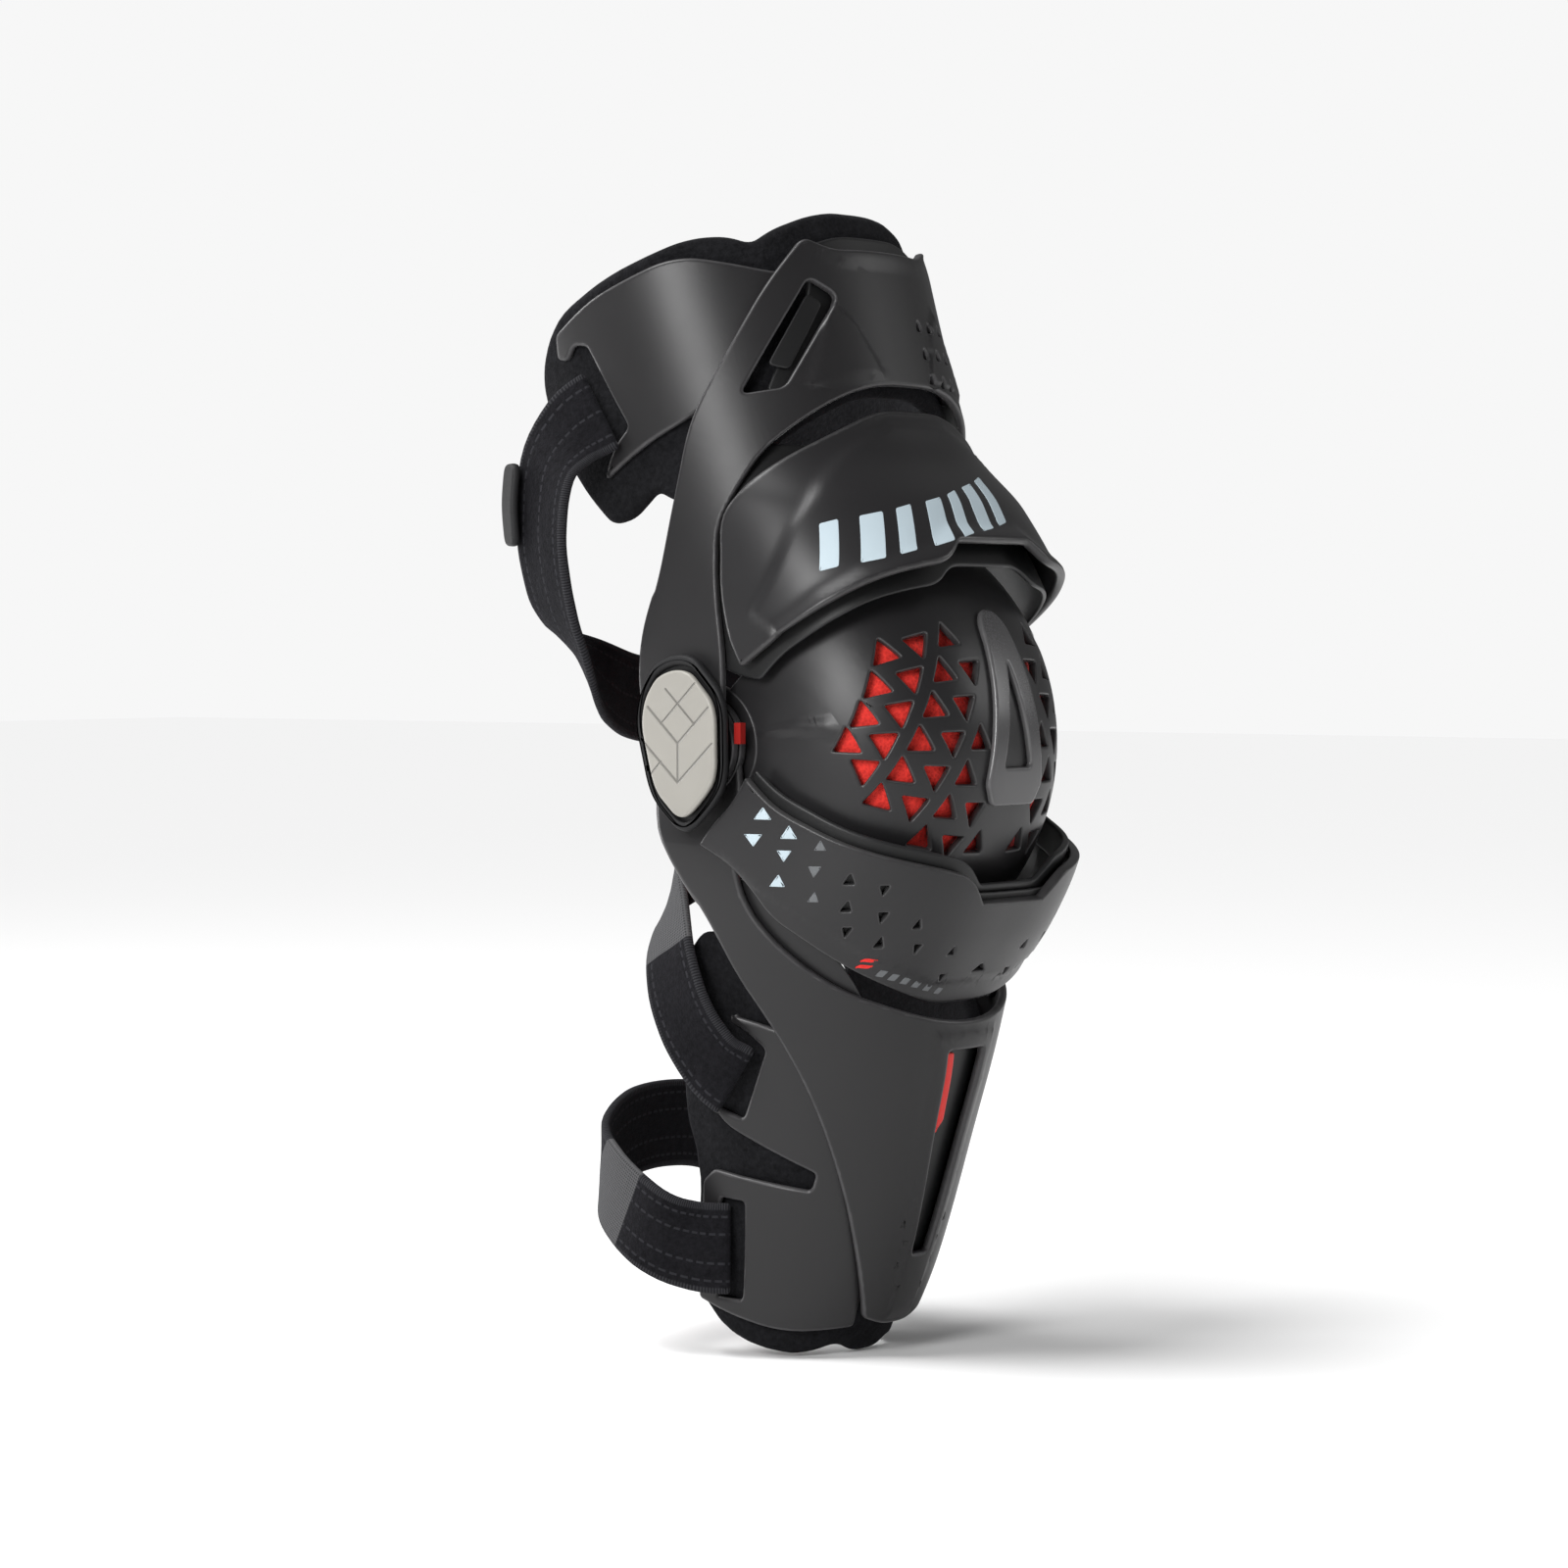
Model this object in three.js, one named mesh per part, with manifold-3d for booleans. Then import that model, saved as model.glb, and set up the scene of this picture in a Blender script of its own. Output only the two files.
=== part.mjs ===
// Hinged knee guard for motorcycle riding: a thigh cuff, a domed knee cup and a shin cuff.
// Millimetres. The wearer faces -Y, +Z is up, and +X is the hinge axis. The origin is the centre of the knee.
// Left in a name is the -X side, and right is the +X side.
import * as THREE from "three";
import { mergeVertices } from "three/addons/utils/BufferGeometryUtils.js";
import Module from "manifold-3d";

const wasm = await Module();
wasm.setup();

// ---------- driving dimensions ----------

// How far the thigh and the shin lean back from upright at rest, in degrees.
const THIGH_LEAN = 17;
const SHIN_LEAN = -5;
const CUP_LEAN = 6;

// Level sections: height, half width, depth to the front, squareness, and the centre's place front to back.
const THIGH_SECTIONS = [
  [-30, 71, 72, 3.0, 0],
  [0, 71, 72, 3.0, 0],
  [60, 72, 73, 2.6, 0],
  [120, 74, 74, 2.3, 0],
  [180, 78, 76, 2.2, 0],
];
const SHIN_SECTIONS = [
  [-215, 43, 42, 2.1, -2],
  [-171, 47, 52, 2.1, -6],
  [-125, 52, 59, 2.2, -8],
  [-97, 57, 64, 2.2, -8],
  [-60, 65.5, 69, 2.5, -4],
  [-34, 68.5, 71, 2.9, -1],
  [-24, 67, 72, 3, 0],
  [30, 67, 72, 3, 0],
];
const UPPER_SHIELD_SECTIONS = [
  [10, 73, 89, 3, 0],
  [50, 73, 84, 2.9, 3],
  [80, 72, 77, 2.7, 13],
  [97, 70, 68, 2.5, 20],
  [116, 67, 63, 2.4, 24],
];
const LOWER_SHIELD_SECTIONS = [
  [-95, 61, 56, 2.6, 0],
  [-77, 66, 66, 2.7, 0],
  [-62, 69.5, 76, 2.8, 0],
  [-42, 71.5, 86, 2.9, 0],
  [-21, 73, 91, 2.9, 0],
  [0, 73, 92, 2.9, 0],
];

// The cup is a dome turned about the hinge axis.
const CUP_RADIUS = 82;
const CUP_HALF_WIDTH = 62.5;
const CUP_SQUARENESS = 2.9;

// Wall thicknesses, and the layers from the outer skin inwards.
const FRAME_WALL = 3.0;
const SHIELD_WALL = 3.5;
const CUP_WALL = 3.0;
const WING_OUT = -3.6;
const WING_IN = -6.2;
const LINER_OUT = -7.0;
const LINER_IN = -12.5;

// Hinge hardware, by distance from the middle plane.
const PIN_RADIUS = 5;
const BORE_RADIUS = 5.1;
const THIGH_EYE = { inner: 68, outer: 71.2, radius: 17.5 };
const SHIN_EYE = { inner: 63.8, outer: 67, radius: 17.5 };
const CUP_EYE = { inner: 59.6, outer: 62.6, radius: 21 };
const PIN_SPAN = { inner: 59.4, outer: 71.6 };
const PIN_HEAD = { inner: 71.6, outer: 73.0, radius: 9 };
const HOUSING = { inner: 71.6, outer: 73.4, radius: 15, bore: 9.6 };
const BEZEL = { inner: 73.7, outer: 77.2, scale: 1.0 };
const COVER = { inner: 75.6, outer: 78.6, scale: 0.84 };
const CONDYLE_PAD = { inner: 50, outer: 58.8, radius: 21.5 };

// Straps: width and thickness.
const THIGH_STRAP = { width: 30, thickness: 2.4 };
const CALF_STRAP_UPPER = { width: 27, thickness: 2.4 };
const CALF_STRAP_LOWER = { width: 31, thickness: 2.4 };

// ---------- surfaces ----------

const radians = (degrees) => (degrees * Math.PI) / 180;
const signedPower = (value, power) => Math.sign(value) * Math.abs(value) ** power;

function sectionAt(rows, height) {
  let i = 0;
  while (i < rows.length - 2 && height > rows[i + 1][0]) i++;
  const [low, high] = [rows[i], rows[i + 1]];
  const part = (height - low[0]) / (high[0] - low[0]);
  return low.map((value, k) => value + (high[k] - value) * part);
}

// A point from an angle round the leg (0 at the front, 90 at +X) and a height along it.
function legSurface(rows, lean) {
  const turn = new THREE.Matrix4().makeRotationX(radians(-lean));
  return (angle, height) => {
    const [, halfWidth, depth, squareness, centre] = sectionAt(rows, height);
    const a = radians(angle);
    const x = halfWidth * signedPower(Math.sin(a), 2 / squareness);
    const y = centre - depth * signedPower(Math.cos(a), 2 / squareness);
    return new THREE.Vector3(x, y, height).applyMatrix4(turn);
  };
}

// The dome's half profile, evenly spaced along its length: distance along it, x, and radius about the hinge axis.
function domeProfile(samples) {
  const rows = [[0, 0, CUP_RADIUS]];
  for (let i = 1; i <= samples; i++) {
    const a = (Math.PI / 2) * (i / samples);
    const x = CUP_HALF_WIDTH * Math.sin(a) ** (2 / CUP_SQUARENESS);
    const r = CUP_RADIUS * Math.max(Math.cos(a), 0) ** (2 / CUP_SQUARENESS);
    const last = rows[rows.length - 1];
    rows.push([last[0] + Math.hypot(x - last[1], r - last[2]), x, r]);
  }
  return rows;
}
const PROFILE = domeProfile(600);

function profileAt(length) {
  const s = Math.abs(length);
  let i = 0;
  while (i < PROFILE.length - 2 && s > PROFILE[i + 1][0]) i++;
  const [low, high] = [PROFILE[i], PROFILE[i + 1]];
  const part = (s - low[0]) / (high[0] - low[0]);
  return [Math.sign(length) * (low[1] + (high[1] - low[1]) * part), low[2] + (high[2] - low[2]) * part];
}

// A point from the length along the dome's profile and the angle above level.
function domeSurface(length, angle) {
  const [x, r] = profileAt(length);
  const a = radians(angle + CUP_LEAN);
  return new THREE.Vector3(x, -r * Math.cos(a), r * Math.sin(a));
}

const thighSkin = legSurface(THIGH_SECTIONS, THIGH_LEAN);
const shinSkin = legSurface(SHIN_SECTIONS, SHIN_LEAN);
const upperShieldSkin = legSurface(UPPER_SHIELD_SECTIONS, 0);
const lowerShieldSkin = legSurface(LOWER_SHIELD_SECTIONS, 0);

function normalOf(skin, u, v) {
  const step = 0.05;
  const across = skin(u + step, v).sub(skin(u - step, v));
  const along = skin(u, v + step).sub(skin(u, v - step));
  return across.cross(along).normalize();
}

// ---------- building helpers ----------

function evenLines(low, high, step) {
  const lines = [];
  for (let value = low; value <= high; value += step) lines.push(value);
  return lines;
}

// Cuts a convex polygon of [u, v] points along one grid line.
function cutPolygon(polygon, axis, value) {
  const below = [];
  const above = [];
  for (let i = 0; i < polygon.length; i++) {
    const p = polygon[i];
    const q = polygon[(i + 1) % polygon.length];
    if (p[axis] <= value + 1e-9) below.push(p);
    if (p[axis] >= value - 1e-9) above.push(p);
    const crosses = (p[axis] - value) * (q[axis] - value) < -1e-12;
    if (crosses && Math.abs(p[axis] - value) > 1e-9 && Math.abs(q[axis] - value) > 1e-9) {
      const [from, to] = p[axis] < q[axis] ? [p, q] : [q, p];
      const part = (value - from[axis]) / (to[axis] - from[axis]);
      const cut = [from[0] + (to[0] - from[0]) * part, from[1] + (to[1] - from[1]) * part];
      cut[axis] = value;
      below.push(cut);
      above.push(cut);
    }
  }
  return [below, above].filter((piece) => piece.length > 2 && Math.abs(areaOf(piece)) > 1e-7);
}

function areaOf(polygon) {
  let sum = 0;
  for (let i = 0; i < polygon.length; i++) {
    const p = polygon[i];
    const q = polygon[(i + 1) % polygon.length];
    sum += p[0] * q[1] - q[0] * p[1];
  }
  return sum / 2;
}

// A wall that follows a skin: the outline and its holes in skin coordinates, between two depths.
function wall(skin, outline, holes, inner, outer, uLines, vLines) {
  const toVectors = (points) => points.map(([u, v]) => new THREE.Vector2(u, v));
  const contour = areaOf(outline) > 0 ? outline : [...outline].reverse();
  const openings = holes.map((hole) => (areaOf(hole) < 0 ? hole : [...hole].reverse()));
  const all = [contour, ...openings].flat();
  let polygons = THREE.ShapeUtils.triangulateShape(toVectors(contour), openings.map(toVectors)).map(
    (face) => face.map((i) => all[i]),
  );
  for (const [axis, lines] of [[0, uLines], [1, vLines]]) {
    for (const line of lines) {
      polygons = polygons.flatMap((polygon) => cutPolygon(polygon, axis, line));
    }
  }
  const places = [];
  const seen = new Map();
  const indexOf = ([u, v]) => {
    const key = `${Math.round(u * 1000)},${Math.round(v * 1000)}`;
    if (!seen.has(key)) {
      seen.set(key, places.length);
      places.push([u, v]);
    }
    return seen.get(key);
  };
  const faces = [];
  for (const polygon of polygons) {
    const loop = polygon.map(indexOf).filter((p, i, list) => p !== list[(i + 1) % list.length]);
    for (let i = 1; i < loop.length - 1; i++) faces.push([loop[0], loop[i], loop[i + 1]]);
  }
  const count = places.length;
  const positions = [];
  for (const depth of [outer, inner]) {
    for (const [u, v] of places) {
      positions.push(...skin(u, v).addScaledVector(normalOf(skin, u, v), depth).toArray());
    }
  }
  const edges = new Set(faces.flatMap(([a, b, c]) => [`${a},${b}`, `${b},${c}`, `${c},${a}`]));
  const index = [];
  for (const [a, b, c] of faces) {
    index.push(a, b, c, a + count, c + count, b + count);
  }
  for (const edge of edges) {
    const [a, b] = edge.split(",").map(Number);
    if (!edges.has(`${b},${a}`)) index.push(a, a + count, b + count, a, b + count, b);
  }
  const geometry = new THREE.BufferGeometry();
  geometry.setAttribute("position", new THREE.Float32BufferAttribute(positions, 3));
  geometry.setIndex(index);
  return geometry;
}

// The same outline on the other side of the middle plane.
const mirrored = (points) => points.map(([u, v]) => [-u, v]);

// A right half outline and its mirror image joined into one outline, from the bottom round to the top.
const bothSides = (rightHalf) => [...rightHalf, ...mirrored(rightHalf).reverse()];

// A plate across the hinge axis on one side, from an outline of [y, z] points.
function sidePlate(points, inner, outer, side, holeRadius) {
  const shape = new THREE.Shape(points.map(([y, z]) => new THREE.Vector2(y, z)));
  if (holeRadius) {
    shape.holes.push(new THREE.Path().absarc(0, 0, holeRadius, 0, Math.PI * 2, true));
  }
  const geometry = new THREE.ExtrudeGeometry(shape, {
    depth: outer - inner,
    bevelEnabled: false,
    curveSegments: 24,
  });
  // The outline's plane becomes YZ, and the plate grows along +X.
  const turn = new THREE.Matrix4().set(0, 0, 1, 0, 1, 0, 0, 0, 0, 1, 0, 0, 0, 0, 0, 1);
  geometry.applyMatrix4(turn);
  geometry.translate(side > 0 ? inner : -outer, 0, 0);
  return geometry;
}

function circle(radius, segments) {
  const points = [];
  for (let i = 0; i < segments; i++) {
    const a = (i / segments) * Math.PI * 2;
    points.push([radius * Math.cos(a), radius * Math.sin(a)]);
  }
  return points;
}

// A solid turned about the hinge axis, from [radius, distance from the middle plane] points.
function turned(profile, side, segments) {
  const points = profile.map(([r, x]) => new THREE.Vector2(r, x));
  const geometry = new THREE.LatheGeometry(points, segments);
  geometry.rotateZ(side > 0 ? -Math.PI / 2 : Math.PI / 2);
  return geometry;
}

// A flat strap through stations of [x, y, z, facing], where facing is the angle that its outer face looks, from the front.
function strap(stations, size, steps) {
  const middle = new THREE.CatmullRomCurve3(stations.map(([x, y, z]) => new THREE.Vector3(x, y, z)));
  const facing = new THREE.CatmullRomCurve3(stations.map(([, , z, angle]) => new THREE.Vector3(angle, z, 0)));
  const positions = [];
  for (let i = 0; i <= steps; i++) {
    const t = i / steps;
    const centre = middle.getPoint(t);
    const a = radians(facing.getPoint(t).x);
    const out = new THREE.Vector3(Math.sin(a), -Math.cos(a), 0);
    const ahead = middle.getTangent(t);
    const across = out.clone().cross(ahead).normalize();
    const face = ahead.clone().cross(across).normalize();
    for (const [w, h] of [[-1, -1], [1, -1], [1, 1], [-1, 1]]) {
      const corner = centre.clone().addScaledVector(across, (w * size.width) / 2);
      positions.push(...corner.addScaledVector(face, (h * size.thickness) / 2).toArray());
    }
  }
  const index = [];
  for (let i = 0; i < steps; i++) {
    for (let k = 0; k < 4; k++) {
      const a = i * 4 + k;
      const b = i * 4 + ((k + 1) % 4);
      index.push(a, b, b + 4, a, b + 4, a + 4);
    }
  }
  const last = steps * 4;
  index.push(0, 2, 1, 0, 3, 2, last, last + 1, last + 2, last, last + 2, last + 3);
  const geometry = new THREE.BufferGeometry();
  geometry.setAttribute("position", new THREE.Float32BufferAttribute(positions, 3));
  geometry.setIndex(index);
  return geometry;
}

// ---------- joining and cutting ----------

function solid(geometry) {
  const bare = geometry.clone();
  bare.deleteAttribute("normal");
  bare.deleteAttribute("uv");
  const merged = mergeVertices(bare, 1e-4);
  const made = new wasm.Manifold(
    new wasm.Mesh({
      numProp: 3,
      vertProperties: merged.attributes.position.array,
      triVerts: new Uint32Array(merged.index.array),
    }),
  );
  return made;
}

function toGeometry(manifold) {
  const mesh = manifold.getMesh();
  const geometry = new THREE.BufferGeometry();
  geometry.setAttribute("position", new THREE.Float32BufferAttribute(mesh.vertProperties, 3));
  geometry.setIndex(Array.from(mesh.triVerts));
  return geometry;
}

const join = (parts) => toGeometry(parts.map(solid).reduce((whole, part) => whole.add(part)));
const cut = (from, tools) => toGeometry(tools.map(solid).reduce((rest, tool) => rest.subtract(tool), solid(from)));

const bores = [1, -1].map((side) => turned([[0, 55], [BORE_RADIUS, 55], [BORE_RADIUS, 80], [0, 80]], side, 24));
const eyes = (eye) => [1, -1].map((side) => sidePlate(circle(eye.radius, 32), eye.inner, eye.outer, side));

// ---------- the assembly ----------

const knee = new THREE.Group();

function add(name, geometry, colour, roughness, metalness = 0) {
  const material = new THREE.MeshStandardMaterial({ color: colour, roughness, metalness });
  const mesh = new THREE.Mesh(geometry, material);
  mesh.name = name;
  knee.add(mesh);
}

const CHARCOAL = 0x2b2a2c;
const BLACK = 0x101011;
const FABRIC = 0x0d0d0e;
const RED = 0xb5140f;
const GREY = 0x9a9790;
const RUBBER = 0x2f2f31;
const STEEL = 0x8c8c8c;

const legU = evenLines(-120, 120, 12);
const heightsOf = (rows) => rows.slice(1, -1).map((row) => row[0]);
const thighV = [...heightsOf(THIGH_SECTIONS), 90, 145];
const shinV = heightsOf(SHIN_SECTIONS);

// --- thigh ---

// One moulding: an arm up each side from the hinge, and a bridge across the front.
const thighFrameHalf = [
  [14, 104.5],
  [33, 98],
  [52, 88],
  [62, 78],
  [71, 68],
  [77, 46],
  [80, 26],
  [84, 8],
  [84, 0],
  [96, 0],
  [97, 24],
  [94, 40],
  [84, 72],
  [78, 86],
  [70, 104],
  [57, 120],
  [38, 144],
  [25, 157],
  [17, 152],
];
const thighSlot = [
  [-26, 143],
  [-18, 136],
  [-41, 107],
  [-54, 108],
];
const thighFrame = wall(
  thighSkin,
  bothSides(thighFrameHalf),
  [thighSlot],
  -FRAME_WALL,
  0,
  legU,
  thighV,
);
add("thigh_frame", cut(join([thighFrame, ...eyes(THIGH_EYE)]), bores), CHARCOAL, 0.5);

// A plain generic plate sits inside the frame's slot.
const slotPlate = [
  [-27, 138],
  [-23, 134],
  [-38, 113],
  [-44, 116],
];
add("slot_plate", wall(thighSkin, slotPlate, [], -2.8, -1.2, legU, thighV), BLACK, 0.4);

// Side panels under the frame, each with a notch for the strap in its rear edge.
const thighWing = [
  [-28, 146],
  [-36, 148],
  [-58, 158],
  [-66, 159],
  [-89, 155],
  [-100, 149],
  [-101.5, 141],
  [-98, 139],
  [-95, 143],
  [-91.5, 141],
  [-87.5, 110],
  [-91, 106],
  [-94, 100.5],
  [-95.5, 96],
  [-85, 102],
  [-69, 106],
  [-54, 112],
];
for (const [name, outline] of [["thigh_wing_left", thighWing], ["thigh_wing_right", mirrored(thighWing)]]) {
  add(name, wall(thighSkin, outline, [], WING_IN, WING_OUT, legU, thighV), CHARCOAL, 0.5);
}

// A thin black carrier fills the front between the side panels.
const carrierHalf = [
  [14, 107],
  [35, 104],
  [46, 108],
  [24, 140],
  [22, 155],
  [12, 158],
];
add(
  "thigh_liner_carrier",
  wall(thighSkin, bothSides(carrierHalf), [], WING_IN, WING_OUT, legU, thighV),
  BLACK,
  0.6,
);

// One soft liner wraps the front and both sides of the thigh.
const thighLinerHalf = [
  [12, 103],
  [30, 97],
  [60, 85],
  [78, 79],
  [83, 81],
  [87, 87],
  [93, 81],
  [99, 82],
  [106, 95],
  [112, 110],
  [116, 128],
  [114, 141],
  [102, 155],
  [85, 161],
  [57, 165],
  [45, 163],
  [38, 159],
  [30, 163],
  [13, 168],
];
add(
  "thigh_liner",
  wall(thighSkin, bothSides(thighLinerHalf), [], LINER_IN, LINER_OUT, legU, thighV),
  FABRIC,
  0.95,
);

// The upper shield bulges forward of the frame and overhangs the cup.
const upperShieldHalf = [
  [10, 67],
  [16, 60.5],
  [30, 58],
  [44, 54],
  [60, 46],
  [76, 34],
  [82.5, 26],
  [84.6, 36],
  [85, 52],
  [79.4, 76],
  [70, 85.5],
  [52, 95.5],
  [28, 106],
  [12, 113],
];
add(
  "upper_knee_shield",
  wall(
    upperShieldSkin,
    bothSides(upperShieldHalf),
    [],
    -SHIELD_WALL,
    0,
    legU,
    heightsOf(UPPER_SHIELD_SECTIONS),
  ),
  CHARCOAL,
  0.45,
);

// A thin black inner shell backs the shield, reaches past its lower edge, and closes the gap to the arms.
const upperLipHalf = [
  [9.5, 63],
  [16, 56.5],
  [30, 54],
  [44, 50],
  [60, 42],
  [75, 30.5],
  [80.5, 22],
  [86, 24],
  [91, 36],
  [92, 52],
  [88, 64],
  [81, 74],
  [74, 83],
  [66, 91],
  [58, 96],
  [48, 97],
  [30, 98],
  [12, 98],
];
add(
  "upper_shield_lip",
  wall(upperShieldSkin, bothSides(upperLipHalf), [], -7.2, -5.7, legU, heightsOf(UPPER_SHIELD_SECTIONS)),
  BLACK,
  0.6,
);

// --- knee cup ---

const cupHalf = [
  [40, -60],
  [70, -58],
  [88, -58],
  [98, -60],
  [104, -60],
  [104, 60],
  [98, 56],
  [88, 50],
  [70, 47],
  [40, 46],
];

// A row lattice of triangles that point up and down in turn.
function triangleAt(length, angle, size, up) {
  const flip = up ? 1 : -1;
  return [90, 210, 330].map((corner) => {
    const a = radians(corner);
    const s = length + size * Math.cos(a);
    const rise = (flip * size * Math.sin(a)) / profileAt(length)[1];
    return [s, angle + (rise * 180) / Math.PI];
  });
}
const LATTICE_PITCH = 12.4;
const LATTICE_SIZE = 5.9;
const LATTICE_ROWS = [
  { angle: 21, from: 18, to: 57 },
  { angle: 12.5, from: 18, to: 57 },
  { angle: 4, from: 18, to: 72 },
  { angle: -4.5, from: 18, to: 72 },
  { angle: -13, from: 18, to: 63 },
  { angle: -21.5, from: 18, to: 57 },
  { angle: -30, from: 6, to: 45 },
];
const vents = [];
LATTICE_ROWS.forEach((row, r) => {
  const shift = r % 2 ? LATTICE_PITCH / 2 : 0;
  for (let k = 0; k * LATTICE_PITCH + shift <= row.to; k++) {
    const length = k * LATTICE_PITCH + shift;
    if (length < row.from) continue;
    const up = (k + Math.floor(r / 2)) % 2 === 0;
    vents.push(triangleAt(length, row.angle, LATTICE_SIZE, up));
    if (length > 0) vents.push(mirrored(triangleAt(length, row.angle, LATTICE_SIZE, up)));
  }
});
const cupU = [-106, -99, -92, -82, -70, -56, -40, -20, 0, 20, 40, 56, 70, 82, 92, 99, 106];
const cupV = evenLines(-40, 40, 20);
const cupShell = wall(domeSurface, bothSides(cupHalf), vents, -CUP_WALL, 0, cupU, cupV);
add("knee_cup", cut(join([cupShell, ...eyes(CUP_EYE)]), bores), CHARCOAL, 0.45);

const foamHalf = [
  [45, -40],
  [72, -30],
  [84, 0],
  [72, 28],
  [45, 32],
];
add("cup_foam", wall(domeSurface, bothSides(foamHalf), [], -10.5, -5.4, cupU, cupV), RED, 0.8);

// A plain raised plate with a three-sided window.
const emblem = [
  [-12, -20],
  [12, -20],
  [16, -15],
  [7, 24],
  [3, 27],
  [-3, 27],
  [-7, 24],
  [-16, -15],
];
const emblemWindow = [
  [-8, -11],
  [8, -11],
  [0, 14],
];
const emblemV = evenLines(-20, 24, 5);
add("cup_emblem", wall(domeSurface, emblem, [emblemWindow], 0.4, 2.3, cupU, emblemV), CHARCOAL, 0.4);

// --- shin ---

const shinFrameHalf = [
  [8, -195],
  [20, -192],
  [31, -172],
  [42, -148],
  [54, -124],
  [65, -104],
  [74, -89],
  [82, -76],
  [91, -50],
  [97, -27],
  [96, 0],
  [84, 0],
  [82, -18],
  [83, -32],
  [80, -50],
  [69, -64],
  [50, -77],
  [13, -87],
];
const shinWindow = [
  [-9, -97],
  [9, -97],
  [8, -130],
  [5, -169],
  [-5, -169],
  [-7, -130],
];
const shinFrame = wall(
  shinSkin,
  bothSides(shinFrameHalf),
  [shinWindow],
  -FRAME_WALL,
  0,
  legU,
  shinV,
);
add("shin_frame", cut(join([shinFrame, ...eyes(SHIN_EYE)]), bores), CHARCOAL, 0.5);

// Side panels under the frame, cut into hooks and fingers that hold the straps.
const shinWing = [
  [-88, -91],
  [-74, -93],
  [-56, -97],
  [-44, -122],
  [-34, -148],
  [-24, -172],
  [-20, -197],
  [-54, -199],
  [-78, -195.5],
  [-99, -191],
  [-99, -150],
  [-94, -145],
  [-68, -147],
  [-55, -148],
  [-54, -142],
  [-90, -129],
  [-95, -123],
  [-84, -126],
  [-76, -101],
];
const shinWingSlot = [
  [-91, -154.5],
  [-81.5, -154.5],
  [-77.5, -189],
  [-90, -189],
];
for (const [side, name] of [[1, "shin_wing_left"], [-1, "shin_wing_right"]]) {
  const outline = side > 0 ? shinWing : mirrored(shinWing);
  const slot = side > 0 ? shinWingSlot : mirrored(shinWingSlot);
  add(name, wall(shinSkin, outline, [slot], WING_IN, WING_OUT, legU, shinV), CHARCOAL, 0.5);
}

// A thin backing on each side closes the gap between the frame and the lower shield.
const sideBacking = [
  [40, -84],
  [46, -72],
  [56, -61],
  [66, -51],
  [76, -41],
  [84, -44],
  [80, -58],
  [70, -72],
  [58, -80],
  [46, -86],
];
for (const [name, outline] of [["shin_backing_left", mirrored(sideBacking)], ["shin_backing_right", sideBacking]]) {
  add(name, wall(shinSkin, outline, [], -5.2, WING_OUT, legU, shinV), CHARCOAL, 0.6);
}

const windowBackHalf = [
  [12, -188],
  [20, -170],
  [28, -148],
  [30, -122],
  [30, -92],
];
add(
  "shin_window_back",
  wall(shinSkin, bothSides(windowBackHalf), [], WING_IN, WING_OUT, legU, shinV),
  BLACK,
  0.6,
);
const windowInsert = [
  [-8.4, -98],
  [-5, -98],
  [-3, -122],
  [-6.6, -127],
];
add("shin_window_insert", wall(shinSkin, windowInsert, [], -2.9, -0.6, legU, shinV), RED, 0.5);

const shinLinerHalf = [
  [10, -209],
  [22, -205],
  [42, -209],
  [70, -206],
  [90, -200],
  [108, -187],
  [104, -148],
  [114, -126],
  [108, -84],
  [92, -64],
  [80, -70],
  [60, -84],
  [30, -92],
];
add(
  "shin_liner",
  wall(shinSkin, bothSides(shinLinerHalf), [], LINER_IN, LINER_OUT, legU, shinV),
  FABRIC,
  0.95,
);

// The lower shield catches the cup's bottom edge.
const lowerShieldHalf = [
  [10, -87],
  [29, -80.5],
  [50, -72],
  [75, -56],
  [80.5, -47],
  [84.6, -40],
  [89.2, -32.5],
  [87.6, -26],
  [84.4, -19],
  [81.8, -10],
  [76, -20],
  [59, -31],
  [44, -36],
  [22, -41],
  [15, -43],
  [8, -52],
];
add(
  "lower_knee_shield",
  wall(
    lowerShieldSkin,
    bothSides(lowerShieldHalf),
    [],
    -SHIELD_WALL,
    0,
    legU,
    heightsOf(LOWER_SHIELD_SECTIONS),
  ),
  CHARCOAL,
  0.45,
);

const lowerLipHalf = [
  [8, -58],
  [15, -50],
  [22, -48],
  [44, -43],
  [59, -38],
  [76, -27],
  [82.5, -16],
  [81.5, -7],
  [76, -15.5],
  [59, -27],
  [44, -32],
  [22, -37],
  [14, -39.5],
  [7, -48],
];
add(
  "lower_shield_lip",
  wall(lowerShieldSkin, bothSides(lowerLipHalf), [], -6.2, -4, legU, heightsOf(LOWER_SHIELD_SECTIONS)),
  BLACK,
  0.6,
);

// --- hinge hardware, one set each side ---

// The bezel's long rounded outline, which leans with the thigh.
const coverOutline = [
  [-1.7, 30.5],
  [-6, 29],
  [-15.9, 18.6],
  [-18, 12],
  [-18.3, -8],
  [-17, -14],
  [-13, -19.5],
  [-6, -26.5],
  [-2, -28.5],
  [2, -27.5],
  [10.7, -19.2],
  [13.5, -13],
  [18.3, 6],
  [18.5, 11],
  [17, 19],
  [12, 26.5],
  [8, 29],
  [3, 30.5],
];
const scaled = (points, k) => points.map(([y, z]) => [y * k, z * k]);

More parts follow.
